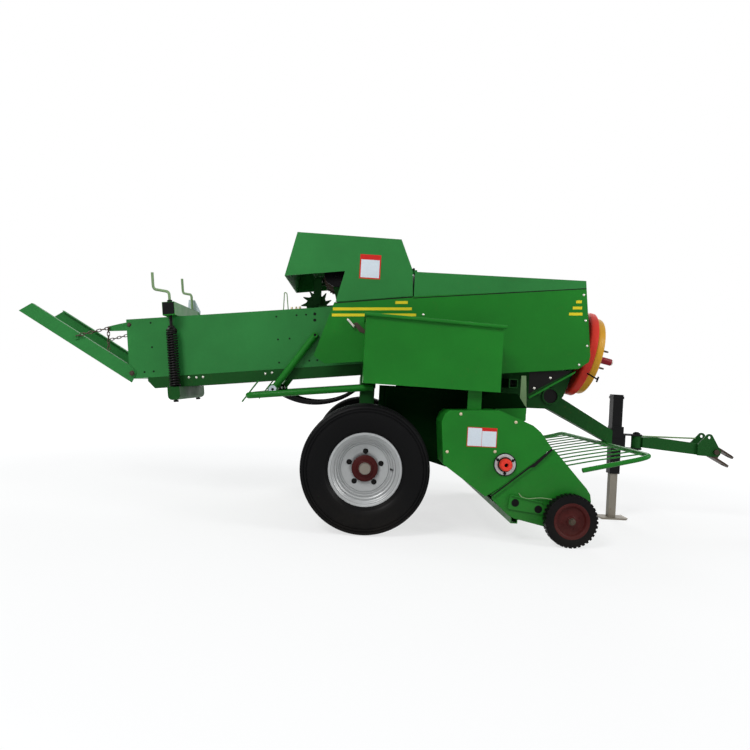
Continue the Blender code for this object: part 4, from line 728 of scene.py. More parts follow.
class BALER_OT_main_wheels(bpy.types.Operator):
    """Ribbed tyres, dished rims with five studs, and hubs"""
    bl_idname = "baler.main_wheels"
    bl_label = "Main wheels"

    def execute(self, context):
        groove = context.scene.baler_sizes.tyre_groove
        radius, sides = WHEEL_CENTRE[1], 120
        wall = smooth_path([(0.1943, 0.077), (0.2165, 0.096), (0.250, 0.121), (0.300, 0.1295),
                            (0.332, 0.1272)], 5)
        bead = np.exp(-((wall[:, 0] - 0.235) / 0.004) ** 2)
        wall[:, 1] = np.minimum(0.1299, wall[:, 1] + 0.0022 * bead)
        wall = np.vstack([wall, [(0.3345, 0.1228), (0.3375, 0.1222), (0.3400, 0.1252), (0.3480, 0.1238),
                                 (0.3510, 0.1188), (0.3540, 0.1180), (0.3562, 0.1212), (0.3640, 0.1180),
                                 (0.3668, 0.1128), (0.3690, 0.1118), (0.3715, 0.1130), (0.3745, 0.1080)]])
        tread = []
        edges = (-0.105, -0.066, -0.022, 0.022, 0.066, 0.105)
        for low, high in zip(edges, edges[1:]):
            crown = radius - (0.004 if abs(low + high) > 0.1 else 0.0)
            tread += [(crown - groove, low + 0.002), (crown - 0.003, low + 0.0045), (crown, low + 0.009),
                      (crown, high - 0.009), (crown - 0.003, high - 0.0045), (crown - groove, high - 0.002)]
        tread = tread[1:-1]
        profile = np.vstack([wall * (1.0, -1.0), tread, wall[::-1]])
        rim = [(0.2040, -0.0990), (0.2130, -0.0990), (0.2150, -0.0965), (0.2120, -0.0940),
               (0.2000, -0.0860), (0.1938, -0.0760), (0.1938, 0.0760), (0.2000, 0.0860),
               (0.2120, 0.0940), (0.2150, 0.0965), (0.2130, 0.0990), (0.2060, 0.0990),
               (0.2000, 0.0960), (0.1965, 0.0880), (0.1915, 0.0850), (0.1880, 0.0790),
               (0.1830, 0.0760), (0.1800, 0.0640), (0.1788, 0.0470), (0.1745, 0.0420),
               (0.1700, 0.0400), (0.1675, 0.0330), (0.1660, 0.0180), (0.1620, 0.0130),
               (0.1570, 0.0115), (0.1535, 0.0060), (0.1490, 0.0010), (0.1430, 0.0010),
               (0.1395, 0.0060), (0.0850, 0.0060),
               (0.0780, 0.0020), (0.0620, 0.0020), (0.0620, -0.0080), (0.1400, -0.0080),
               (0.1650, -0.0030), (0.1720, -0.0120), (0.1780, -0.0700), (0.1900, -0.0830)]
        hub = [(0.0304, -0.075), (0.055, -0.075), (0.061, -0.060), (0.0615, 0.0125), (0.074, 0.0130),
               (0.0775, 0.0150), (0.0775, 0.0280), (0.072, 0.0310), (0.052, 0.0340), (0.045, 0.0420),
               (0.041, 0.0440), (0.0304, 0.0440)]
        cap = [(0.0304, 0.040), (0.0360, 0.040), (0.0360, 0.046), (0.0340, 0.048), (0.0340, 0.058),
               (0.0310, 0.0630), (0.012, 0.0640), (0.0, 0.0640)]
        for name, side in SIDES:
            body, y, outwards = f"wheel_{name}", side * TRACK_HALF, (0.0, side, 0.0)
            put(f"tyre_{name}_ribbed", [turned(profile, sides, 1.0, *WHEEL_CENTRE, y, closed=True)],
                "tyre_rubber", body, [f"tyre_{name}"])
            put(f"rim_{name}_dished", [turned(rim, 72, side, *WHEEL_CENTRE, y, closed=True)],
                "wheel_silver", body, [f"rim_{name}"])
            put(f"hub_{name}_turned", [turned(hub, 48, side, *WHEEL_CENTRE, y, closed=True)],
                "maroon_paint", body, [f"hub_{name}"])
            put(f"hub_cap_{name}", [turned(cap, 32, side, *WHEEL_CENTRE, y)], "leg_steel", body)
            spots = circle_spots(WHEEL_CENTRE, 0.099, y + side * 0.0060, 5, 0.25)
            row_of(f"wheel_studs_{name}", hex_bolt(0.0090, 0.010), spots, outwards, "spring_black", body)
            # Black discs wider than each stud's washer: painted shade round the studs.
            row_of(f"stud_seat_shade_{name}", hole_disc(0.0165), spots, outwards, "hole_black", body)
            valve = rounded_path([(0.152, 0.0, 0.0), (0.152, side * 0.022, 0.0),
                                  (0.163, side * 0.045, 0.0)], 0.012)
            put(f"valve_{name}", [laid(tube(valve, 0.0042, 10, (0.0, 0.0, 1.0)), *WHEEL_CENTRE, 0.0, y)],
                "spring_black", body)
        return {"FINISHED"}


class BALER_OT_gauge_wheels(bpy.types.Operator):
    """Small lugged wheels that carry the pickup"""
    bl_idname = "baler.gauge_wheels"
    bl_label = "Gauge wheels"

    def execute(self, context):
        outer, half, blocks = 0.1535, 0.033, 36
        carcass = smooth_path([(0.0900, 0.0270), (0.1020, 0.0300), (0.1150, 0.0329), (0.1300, 0.0318),
                               (0.1455, 0.0285), (0.1502, 0.0200)], 4)
        profile = np.vstack([carcass * (1.0, -1.0), carcass[::-1]])
        lug_angle = math.tau / blocks * np.array([-0.34, -0.28, 0.28, 0.34])
        lug_radius = np.array([outer - 0.016, outer, outer, outer - 0.016])
        lug = prism(np.stack([lug_radius * np.cos(lug_angle), lug_radius * np.sin(lug_angle)], 1),
                    0.002 - half, half - 0.002)
        moves = [Matrix.Rotation(math.tau * i / blocks, 4, "Y") for i in range(blocks)]
        disc = [(0.0130, -0.030), (0.0240, -0.030), (0.0260, -0.028), (0.0260, -0.006), (0.0800, -0.010),
                (0.0896, -0.027), (0.0896, 0.027), (0.1030, 0.0300), (0.1050, 0.0318), (0.1030, 0.0328),
                (0.0900, 0.0310), (0.0850, 0.0270), (0.0790, 0.0120), (0.0700, 0.0100), (0.0340, 0.0140),
                (0.0290, 0.0170), (0.0280, 0.0285), (0.0260, 0.030), (0.0130, 0.030)]
        for name, side in SIDES:
            body, y, outwards = f"gauge_wheel_{name}", side * (1.002 - half), (0.0, side, 0.0)
            put(f"gauge_tyre_{name}_lugged",
                [turned(profile, 60, 1.0, *GAUGE_CENTRE, y, closed=True),
                 laid(copies(lug, moves), *GAUGE_CENTRE, 0.0, y)],
                "tyre_rubber", body, [f"gauge_tyre_{name}"])
            put(f"gauge_disc_{name}_turned", [turned(disc, 45, side, *GAUGE_CENTRE, y, closed=True)],
                "maroon_paint", body, [f"gauge_disc_{name}"])
            spots = circle_spots(GAUGE_CENTRE, 0.053, y + side * 0.0116, 4, 0.06)
            row_of(f"gauge_bolts_{name}", hex_bolt(0.0050, 0.005), spots, outwards, "maroon_paint", body)
            nut = [at(GAUGE_CENTRE[0], side * 1.0022, GAUGE_CENTRE[1])]
            row_of(f"gauge_nut_{name}", hex_bolt(0.0155, 0.0119), nut, outwards, "dark_steel",
                   "pickup_lift")
        return {"FINISHED"}


class BALER_OT_drive(bpy.types.Operator):
    """Yellow flywheel with its splined stub, inside the red guard ring"""
    bl_idname = "baler.drive"
    bl_label = "Flywheel and guard"

    def execute(self, context):
        w, r = 0.029, 0.278
        back = -w - 0.062
        wheel = [(0.0, -w - 0.020), (0.055, -w - 0.020), (0.055, -0.010), (r - 0.050, -0.010),
                 (r - 0.044, -0.014), (r - 0.040, -w + 0.002), (r - 0.036, -w), (r - 0.006, -w),
                 (r, -w + 0.006), (r, w - 0.014), (r - 0.004, w - 0.005), (r - 0.014, w), (r - 0.036, w),
                 (r - 0.040, w - 0.002), (r - 0.044, 0.014), (r - 0.050, 0.010), (0.060, 0.010),
                 (0.056, 0.014), (0.055, w + 0.008), (0.051, w + 0.012), (0.030, w + 0.014),
                 (0.0285, w + 0.018), (0.0, w + 0.018)]
        angle = math.tau * (np.arange(5) / 5) + 0.3
        cutter = prism(ring_of(0.045, 32), -0.05, 0.05, "X")
        moves = [Matrix.Translation((0.0, 0.145 * math.cos(a), 0.145 * math.sin(a))) for a in angle]
        flywheel = put("flywheel_cast", [on_drive(lathe(wheel, 96, "X"))], "yellow_paint", "flywheel",
                       ["flywheel"])
        drilled(flywheel, [on_drive(copies(cutter, moves))])
        splines = np.where(np.arange(24) % 4 < 2, 0.0205, 0.0172)
        splined = prism(ring_of(splines, 24), 0.128, 0.200, "X")
        stub = lathe([(0.0, 0.040), (0.0205, 0.040), (0.0205, 0.126), (0.0172, 0.129), (0.0, 0.129)],
                     32, "X")
        put("stub_shaft", [on_drive(stub), on_drive(splined)], "bright_steel", "flywheel")
        sleeve = lathe([(0.0206, 0.044), (0.0330, 0.044), (0.0350, 0.047), (0.0350, 0.084),
                        (0.0320, 0.090), (0.0250, 0.094), (0.0245, 0.188), (0.0235, 0.191),
                        (0.0206, 0.191)], 32, "X", closed=True)
        put("stub_sleeve", [on_drive(sleeve)], "dark_red", "flywheel")
        spots = [(0.0410, 0.044 * math.cos(a), 0.044 * math.sin(a)) for a in angle + 0.3]
        spots += [(0.0099, 0.104 * math.cos(a), 0.104 * math.sin(a))
                  for a in math.tau * (np.arange(5) / 5 + 4 / 360)]
        sizes = [hex_bolt(0.0060, 0.007)] * 5 + [hex_bolt(0.0075, 0.112)] * 5
        bolts = [copies(shape, [facing(spot, (1.0, 0.0, 0.0))]) for shape, spot in zip(sizes, spots)]
        put("flywheel_bolts", [on_drive(gathered(bolts))], "dark_steel", "flywheel")
        g = 0.305
        guard = [(0.110, back - 0.006), (g - 0.022, back - 0.006), (g - 0.012, back - 0.004),
                 (g - 0.003, back + 0.004), (g, back + 0.014), (g, -w - 0.008), (g - 0.002, -w - 0.006),
                 (g - 0.008, -w - 0.006), (g - 0.010, -w - 0.008), (g - 0.010, back + 0.014),
                 (g - 0.013, back + 0.006), (g - 0.020, back + 0.001), (g - 0.024, back), (0.110, back)]
        put("flywheel_guard_pressed", [on_drive(lathe(guard, 96, "X", closed=True))], "red_paint", "frame",
            ["flywheel_guard"])
        return {"FINISHED"}


class BALER_OT_tension(bpy.types.Operator):
    """Coil springs, screws and cranks of the bale tension gear"""
    bl_idname = "baler.tension"
    bl_label = "Tension springs and cranks"

    def execute(self, context):
        sizes = context.scene.baler_sizes
        turns, wire = sizes.spring_turns, sizes.spring_wire
        s, y, coil = 0.3149, 0.312, 0.0320
        under, top, bar_top = -0.0756, 0.300, 0.488
        low, high = under + 0.0003 + wire, top - wire
        t = np.linspace(0.0, 1.0, turns * 14 + 1)
        closed = 2.0 * wire / (high - low)
        rise = np.interp(t, [0.0, 1.0 / turns, 1.0 - 1.0 / turns, 1.0], [0.0, closed, 1.0 - closed, 1.0])
        turn = math.tau * turns * t
        for (name, side), swing in zip(SIDES, (180, 140)):
            path = np.stack([s + coil * np.cos(turn), side * y + coil * np.sin(turn),
                             low + (high - low) * rise], 1)
            put(f"tension_spring_{name}_coil", [on_chamber(tube(path, wire, 8, (0.0, 0.0, 1.0)))],
                "spring_black", "frame", [f"tension_spring_{name}"])
            lean = math.radians(swing)
            arm = np.array([0.10 * math.cos(lean), 0.10 * math.sin(lean)])
            here = np.array([s, side * y])
            there = here + 1.03 * arm
            lift = 0.060 if name == "left" else 0.0
            route = [(*here, 0.470), (*here, 0.548 + lift), (*(here + 0.10 * arm), 0.562 + lift),
                     (*(here + 0.94 * arm), 0.582 + lift), (*there, 0.600 + lift), (*there, 0.695 + lift)]
            crank = tube(rounded_path(route, 0.014, 5), 0.0092, 12, (math.sin(lean), -math.cos(lean), 0.0))
            put(f"tension_crank_{name}_bent", [on_chamber(crank)], "pale_green_paint", "frame",
                [f"tension_crank_{name}"])
            count = 56
            thread = np.stack([0.0098 + 0.0011 * (np.arange(count) % 2),
                               np.linspace(0.316, 0.486, count)], 1)
            screw = lathe(np.vstack([[(0.0, 0.316)], thread, [(0.0, 0.486)]]), 14, "Z")
            core = cylinder(0.0095, under - 0.098, 0.320, 14, "Z")
            cap = lathe([(0.0, 0.3003), (0.0360, 0.3003), (0.0360, 0.3070), (0.0330, 0.3090),
                         (0.0260, 0.3180), (0.0220, 0.3200), (0.0200, 0.3330), (0.0, 0.3330)], 28, "Z")
            nuts = [prism(ring_of(0.017, 6), a, b, "Z")
                    for a, b in ((bar_top + 0.0003, bar_top + 0.016), (under - 0.100, under - 0.0863))]
            put(f"tension_screw_{name}",
                [on_chamber(shifted(shape, *here, 0.0)) for shape in [screw, core, cap] + nuts],
                "spring_black", "frame")
        # The far end plate is a real plate; its near-white colour is a painted highlight.
        end_plate = [(-1.394, 1.262), (-1.300, 1.262), (-1.296, 1.350), (-1.345, 1.436), (-1.392, 1.436)]
        put("tension_end_plate", [laid(prism(end_plate, 0.3573, 0.3623))], "label_white", "frame",
            bevel=0.001)
        # A black plate inside the open end of the top tension bar: painted shade of the channel's inside.
        inside = rounded((s - 0.038, s + 0.038), (0.406, 0.486), 0.006)
        put("tension_bar_plug", [on_chamber(prism(inside, -0.3574, -0.3535))], "black_paint", "frame")
        bolts = [at(-1.372, 0.3623, 1.372), at(-1.322, 0.3623, 1.368)]
        row_of("tension_end_bolts", hex_bolt(0.009, 0.009), bolts, (0.0, 1.0, 0.0), "zinc", "frame")
        return {"FINISHED"}


class BALER_OT_chute_chains(bpy.types.Operator):
    """Chains that hold the folded chute"""
    bl_idname = "baler.chute_chains"
    bl_label = "Chute chains"

    def execute(self, context):
        wire = context.scene.baler_sizes.link_wire
        hook_x = CHUTE_PIVOT[0] - 0.438 * math.cos(CHUTE_TILT)
        hook_z = CHUTE_PIVOT[1] + 0.438 * math.sin(CHUTE_TILT)
        lug_x, lug_z = chamber_place(-0.112, 0.345)
        for name, side in SIDES:
            y = side * (CHAMBER_HALF + 0.0125)
            start = at(hook_x, y + side * 0.013, hook_z + 0.012)
            end = at(lug_x, y, lug_z + 0.004)
            tip = end + (0.0, side * 0.0225, 0.0)
            loose = chain(tip + (0.002, -side * 0.003, -0.004), tip + (0.014, -side * 0.003, -0.150),
                          6, wire)
            seat = at(lug_x, side * (CHAMBER_HALF + 0.0003), lug_z + 0.004)
            pin = tube([seat, 0.5 * (seat + tip), tip], 0.005, 12, (0.0, 0.0, 1.0))
            put(f"chute_hook_{name}", [loose, pin], "dark_steel", "frame")
            row_of(f"chute_pivot_bolt_{name}", hex_bolt(0.0125, 0.009),
                   [at(CHUTE_PIVOT[0], side * 0.269, CHUTE_PIVOT[1])], (0.0, side, 0.0), "dark_steel",
                   "bale_chute")
            held = put(f"chute_chain_{name}_links", [chain(start, end, 8, wire)], "dark_steel", "",
                       [f"chute_chain_{name}"])
            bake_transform(held)
        return {"FINISHED"}


class BALER_OT_bands(bpy.types.Operator):
    """Pressed bands that wrap the pickup reel, with a channel across their tails"""
    bl_idname = "baler.bands"
    bl_label = "Pickup bands"

    def execute(self, context):
        thick = context.scene.baler_sizes.band_steel
        rx, rz = REEL_CENTRE
        count, reel_half, gap, radius = 16, 0.790, 0.020, 0.126
        pitch = 2 * reel_half / count
        arc = np.radians(np.linspace(88, -112, 26))
        bow = np.stack([rx + radius * np.cos(arc), rz + radius * np.sin(arc)], 1)
        path = np.vstack([[(rx - 0.075, rz + radius + 0.012), (rx - 0.030, rz + radius + 0.006)], bow,
                          [(0.960, 0.1165), (0.905, 0.112)]])
        slope = np.gradient(path, axis=0)
        slope /= np.linalg.norm(slope, axis=1, keepdims=True)
        inward = np.stack([slope[:, 1], -slope[:, 0]], 1)
        half = 0.5 * (pitch - gap)
        across = np.array([-half, -half, -half + 0.003, half - 0.003, half, half])
        depth = np.array([0.011, 0.003, 0.0, 0.0, 0.003, 0.011])
        tuck = np.array([thick, thick, 0.0, 0.0, -thick, -thick]) * 0.9
        shell = path[:, None] + inward[:, None] * depth[None, :, None]
        inner = path[:, None] + inward[:, None] * (depth + thick * (tuck == 0.0))[None, :, None]
        one = np.stack([shell[..., 0], np.broadcast_to(across, shell.shape[:2]), shell[..., 1]], -1)
        two = np.stack([inner[..., 0], np.broadcast_to(across + tuck, shell.shape[:2]), inner[..., 1]], -1)
        points = np.concatenate([one, two[:, ::-1]], 1).reshape(-1, 3)
        columns = 2 * len(across)
        faces = grid_faces(len(path), columns, False, True)
        faces += [list(range(columns))[::-1],
                  list(range((len(path) - 1) * columns, len(path) * columns))]
        steps = [Matrix.Translation((AXLE_X, -reel_half + pitch * i, 0.0)) for i in range(count + 1)]
        end = SHEET_FACE - 0.0043
        channel = [(0.867, 0.145), (0.867, 0.109), (0.907, 0.109), (0.907, 0.145), (0.903, 0.145),
                   (0.903, 0.1135), (0.871, 0.1135), (0.871, 0.145)]
        put("pickup_bands_pressed",
            [copies((points, faces), steps), laid(prism(channel, -end, end))],
            "green_paint", "pickup_lift", ["pickup_bands"])
        return {"FINISHED"}


class BALER_OT_reel(bpy.types.Operator):
    """Pickup reel: shaft, end plates, tine bars and coiled spring tines"""
    bl_idname = "baler.reel"
    bl_label = "Pickup reel and tines"

    def execute(self, context):
        wire = context.scene.baler_sizes.tine_wire
        bars, count, reel_half, bar_radius, tip = 4, 16, 0.790, 0.072, 0.1695
        pitch = 2 * reel_half / count
        coil, coil_turns = 0.0120, 2
        turn = np.linspace(0.0, math.tau * coil_turns, coil_turns * 8 + 1)
        wound = np.stack([coil * np.sin(turn), np.linspace(-0.010, 0.006, len(turn)),
                          coil * np.cos(turn)], 1)
        straight = np.array([(0.010, 0.008, 0.018), (0.004, 0.009, 0.050), (-0.001, 0.010, 0.075),
                             (-0.008, 0.010, tip - bar_radius)])
        tine = tube(np.vstack([wound, straight]), wire, 5, (0.0, 1.0, 0.001))
        spots = -reel_half + pitch * (np.arange(count) + 0.5)
        tines = []
        rods = []
        for k in range(bars):
            spin = Matrix.Rotation(math.tau * (k + 0.5) / bars, 4, "Y")
            tines += [spin @ Matrix.Translation((0.0, y, bar_radius)) for y in spots]
            rods.append(spin @ Matrix.Translation((0.0, 0.0, bar_radius)))
        rod = cylinder(0.0085, -reel_half - 0.010, reel_half + 0.010, 12)
        angle = math.tau * np.arange(48) / 48
        plate = ring_of(0.070 + 0.020 * np.cos(4 * (angle - math.pi / 4)) ** 3, 48)
        plates = [prism(plate, y, y + 0.005) for y in (-reel_half - 0.012, -0.26, 0.26, reel_half + 0.007)]
        shaft = cylinder(0.018, -0.9145, 0.9145, 24)
        put("pickup_reel_frame",
            [laid(shape, *REEL_CENTRE) for shape in [shaft, copies(rod, rods)] + plates],
            "green_paint", "pickup_reel", ["pickup_reel"])
        put("pickup_tines", [laid(copies(tine, tines), *REEL_CENTRE)], "dark_steel", "pickup_reel")
        return {"FINISHED"}


class BALER_OT_auger(bpy.types.Operator):
    """Auger flights and the red caps outside the pickup covers"""
    bl_idname = "baler.auger"
    bl_label = "Auger"

    def execute(self, context):
        half, radius, thick = 0.660, 0.140, 0.005
        end = COVER_FACE + 0.030
        shapes = [cylinder(0.0238, -end, end, 32), cylinder(0.045, 0.02 - half, half - 0.02, 40)]
        turns = 1.5
        t = np.linspace(0.0, 1.0, int(turns * 40) + 1)
        for side in (-1.0, 1.0):
            angle = side * math.tau * turns * t
            y = side * (half - 0.05 - 0.46 * t)
            r = np.array([0.040, radius, radius, 0.040])
            shift = np.array([-thick / 2, -thick / 2, thick / 2, thick / 2])
            points = np.stack([r * np.cos(angle)[:, None], y[:, None] + shift,
                               r * np.sin(angle)[:, None]], -1).reshape(-1, 3)
            faces = grid_faces(len(t), 4, False, True)
            faces += [[3, 2, 1, 0], [4 * len(t) - 4 + k for k in range(4)]]
            shapes.append((points, faces))
        # The auger flights take the darker green, partly painted shade inside the feeder.
        put("auger_flights", [laid(shape, *AUGER_CENTRE) for shape in shapes], "deep_green_paint", "auger",
            ["auger"])
        cap = [(0.0, 0.009), (0.0355, 0.009), (0.0360, 0.012), (0.0360, 0.040), (0.0330, 0.046),
               (0.0290, 0.0495), (0.0140, 0.0495), (0.0120, 0.0470), (0.0110, 0.0300), (0.0, 0.0300)]
        ring = [(0.0435, 0.0072), (0.0600, 0.0066), (0.0612, 0.0070), (0.0612, 0.0092),
                (0.0600, 0.0096), (0.0450, 0.0096), (0.0435, 0.0090)]
        shade = [(0.0365, 0.0068), (0.0670, 0.0068), (0.0670, 0.0082), (0.0365, 0.0082)]
        for name, side in SIDES:
            y, outwards = side * COVER_FACE, (0.0, side, 0.0)
            put(f"auger_cap_{name}", [turned(cap, 32, side, *AUGER_CENTRE, y)], "red_paint", "auger")
            # A black disc in the cap's end: painted shade of its bore.
            hole = [at(AUGER_CENTRE[0], side * (COVER_FACE + 0.0305), AUGER_CENTRE[1])]
            row_of(f"auger_cap_hole_{name}", hole_disc(0.0108), hole, outwards, "hole_black", "auger")
            put(f"bearing_face_{name}", [turned(ring, 48, side, *AUGER_CENTRE, y, closed=True)],
                "wheel_silver", "frame")
            # A black disc wider than the silver ring on both edges: painted shade round the bearing ring.
            put(f"bearing_ring_shade_{name}", [turned(shade, 48, side, *AUGER_CENTRE, y, closed=True)],
                "spring_black", "frame")
            spots = circle_spots(AUGER_CENTRE, 0.052, side * (COVER_FACE + 0.0096), 3, 1 / 12)
            row_of(f"bearing_bolts_{name}", hex_bolt(0.0068, 0.007), spots, outwards, "spring_black",
                   "frame")
        return {"FINISHED"}


class BALER_OT_windguard(bpy.types.Operator):
    """Bent tube and trailing rods over the pickup"""
    bl_idname = "baler.windguard"
    bl_label = "Windguard"

    def execute(self, context):
        rod_radius = context.scene.baler_sizes.rod_radius
        pivot, bar, tail, end_y = (1.745, 0.530), (1.700, 0.541), (1.289, 0.434), 0.872
        half = [at(tail[0], -end_y, tail[1]), at(bar[0] - 0.066, -end_y, bar[1] - 0.022),
                at(bar[0] - 0.010, -end_y + 0.010, bar[1] - 0.003), at(bar[0], -end_y + 0.07, bar[1])]
        other = [point * (1.0, -1.0, 1.0) for point in half[::-1]]
        path = dense(rounded_path(half + other, 0.040, 7), 0.10)
        shapes = [tube(path, 0.0145, 14, (0.0, 0.0, 1.0))]
        for y in np.linspace(-0.77, 0.77, 12):
            trail = smooth_path([at(1.150, y, 0.430), at(1.40, y, 0.487), at(bar[0] - 0.020, y, bar[1]),
                                 at(bar[0] + 0.004, y, bar[1] + 0.004)], 6)
            shapes.append(tube(trail, rod_radius, 8))
        tab = [(bar[0], bar[1] - 0.010), (pivot[0] + 0.004, pivot[1] - 0.013),
               (pivot[0] + 0.010, pivot[1] - 0.009), (pivot[0] + 0.013, pivot[1] - 0.002),
               (pivot[0] + 0.010, pivot[1] + 0.008), (pivot[0] - 0.004, pivot[1] + 0.013),
               (bar[0], bar[1] + 0.010)]
        shapes += [sheet(tab, side, 0.0135, 0.0195) for side in (-1.0, 1.0)]
        shapes.append(laid(cylinder(0.007, -0.026, 0.026, 16), *pivot))
        put("windguard_rods", shapes, "green_paint", "windguard", ["windguard"])
        return {"FINISHED"}


class BALER_OT_needles(bpy.types.Operator):
    """Needle yoke, its guard bar and the two curved needles"""
    bl_idname = "baler.needles"
    bl_label = "Needle yoke and guard"

    def execute(self, context):
        (tx, tz), (fx, fz) = YOKE_TOP, YOKE_FOOT
        y = CHAMBER_HALF + 0.036
        eye = [(0.0, 0.0003), (0.020, 0.0003), (0.020, 0.064), (0.017, 0.066), (0.0, 0.066)]
        boss = [(0.0, 0.028), (0.034, 0.028), (0.034, 0.044), (0.031, 0.046), (0.0, 0.046)]
        shapes = [laid(cylinder(0.026, -y - 0.030, y + 0.030, 28), fx, fz)]
        for side in (-1.0, 1.0):
            arm = dense([at(fx, side * y, fz), at(tx, side * y, tz)], 0.08)
            shapes.append(tube(arm, 0.0235, 20))
            shapes.append(turned(eye, 24, side, tx, tz, side * CHAMBER_HALF))
            shapes.append(turned(boss, 24, side, fx, fz, side * y))
        put("needle_yoke_tubes", shapes, "green_paint", "frame", ["needle_yoke"])
        washer = [(0.0, 0.0460), (0.026, 0.0460), (0.026, 0.0510), (0.010, 0.0510), (0.0, 0.0490)]
        for name, side in SIDES:
            put(f"yoke_foot_washer_{name}", [turned(washer, 28, side, fx, fz, side * y)], "label_white",
                "frame")
            # Black discs at the yoke's ends: painted shade of the bores.
            centres = [at(tx, side * (CHAMBER_HALF + 0.0662), tz), at(fx, side * (y + 0.0505), fz)]
            row_of(f"yoke_bores_{name}", hole_disc(0.0095), centres, (0.0, side, 0.0), "hole_black",
                   "frame")
        guard_y = 0.4513
        start, end = (-0.772, 0.756), (0.035, 0.853)
        route = [at(end[0], -guard_y, end[1]), at(start[0], -guard_y, start[1]),
                 at(start[0], guard_y, start[1]), at(end[0], guard_y, end[1])]
        bar = tube(dense(rounded_path(route, 0.045, 8), 0.10), 0.0208, 16, (0.0, 0.0, 1.0))
        prongs = [tube([at(start[0] - 0.045, place, start[1] - 0.045),
                        at(start[0] + 0.055, place, start[1] + 0.100)], 0.005, 10)
                  for place in (-guard_y + 0.06, guard_y - 0.06)]
        put("needle_guard_bar", [bar] + prongs, "green_paint", "frame", ["needle_guard"])
        radius = math.hypot(fx - tx, fz - tz)
        first = math.atan2(fz - tz, fx - tx) + 0.030 / radius
        angle = np.linspace(first, math.radians(-38), 40)
        thick = np.linspace(0.022, 0.009, 40)
        ring = [(0.0263, -0.018), (0.036, -0.018), (0.036, 0.018), (0.0263, 0.018)]
        for name, side in SIDES:
            path = np.stack([tx + AXLE_X + radius * np.cos(angle), 0 * angle + side * TWINE_HALF,
                             tz + radius * np.sin(angle)], 1)
            clamp = turned(ring, 28, 1.0, fx, fz, side * TWINE_HALF, closed=True)
            put(f"needle_{name}_curved", [tube(path, thick, 12, flat=0.45), clamp], "black_paint", "frame",
                [f"needle_{name}"])
        return {"FINISHED"}


class BALER_OT_knotters(bpy.types.Operator):
    """Knotter shaft with cam gears, bill hooks and the trip disc"""
    bl_idname = "baler.knotters"
    bl_label = "Knotters"

    def execute(self, context):
        s, h = KNOTTER_SHAFT
        teeth = 30
        edge = np.where(np.arange(4 * teeth) % 4 < 2, 0.098, 0.091)
        bill = lathe([(0.0, -0.155), (0.009, -0.155), (0.012, -0.150), (0.012, -0.112), (0.008, -0.100),
                      (0.0, -0.100)], 18, "Z")
        metal = []
        dark = [cylinder(0.016, -0.27, 0.27, 24),
                lathe([(0.0, -0.262), (0.083, -0.262), (0.085, -0.260), (0.085, -0.248), (0.083, -0.246),
                       (0.030, -0.238), (0.0, -0.238)], 36)]
        for y in (-TWINE_HALF, TWINE_HALF):
            metal.append(prism(ring_of(edge, 4 * teeth), y - 0.012, y - 0.004))
            metal.append(lathe([(0.0, y - 0.005), (0.088, y - 0.005), (0.086, y + 0.003),
                                (0.060, y + 0.005), (0.050, y + 0.012), (0.024, y + 0.014),
                                (0.0, y + 0.014)], 48))
            dark.append(prism(rounded((0.010, 0.075), (-0.125, -0.020), 0.014), y - 0.040, y - 0.0125))
            dark.append(shifted(bill, 0.045, y - 0.030, 0.0))
            stud = cylinder(0.0075, y - 0.046, y - 0.036, 6)
            dark += [shifted(stud, 0.028, 0.0, row) for row in (-0.035, -0.065, -0.095)]
        put("knotter_gears", [on_chamber(shifted(shape, s, 0.0, h)) for shape in metal], "dark_steel",
            "frame")
        put("knotter_shaft_hooks", [on_chamber(shifted(shape, s, 0.0, h)) for shape in dark],
            "black_paint", "frame", ["knotter_shaft"])
        return {"FINISHED"}


class BALER_OT_markings(bpy.types.Operator):
    """Yellow stripes on the shields and blank labels with a red border"""
    bl_idname = "baler.markings"
    bl_label = "Stripes and blank labels"

    def execute(self, context):
        rise, half = 0.0595, 0.0093
        rows = ((-0.256, 0.2583, 1.3492), (-0.261, 0.2887, 1.3091), (0.1487, 0.2298, 1.4151),
                (1.3397, 1.3769, 1.4898), (1.3193, 1.3810, 1.4483), (1.2969, 1.3859, 1.4067))
        for name, side in SIDES:
            bars = [sheet(strip(x0, z0, x1, z0 + rise * (x1 - x0), half), side, BODY_HALF - 0.0008,
                          BODY_HALF + 0.0006) for x0, x1, z0 in rows]
            put(f"stripes_{name}", bars, "stripe_yellow", "frame")
            self.label(f"hood_label_{name}", side, BODY_HALF, (-0.097, 0.040), (1.559, 1.718),
                       [((-0.089, 0.032), (1.567, 1.684))], "knotter_hood")
            self.label(f"cover_label_{name}", side, COVER_FACE, (0.581, 0.756), (0.547, 0.660),
                       [((0.585, 0.6665), (0.551, 0.656)), ((0.6685, 0.752), (0.551, 0.640))], "frame")
        return {"FINISHED"}

    @staticmethod
    def label(name, side, face, x, z, fields, body):
        """A blank plate: a red sheet, wider at its head, round one or two white fields."""
        back = face - 0.0006
        put(f"{name}_sheet", [sheet(rounded(x, z, 0.003), side, back, face + 0.0006)], "label_red", body)
        put(f"{name}_fields",
            [sheet(rounded(across, up, 0.002), side, back, face + 0.0009) for across, up in fields],
            "label_white", body)


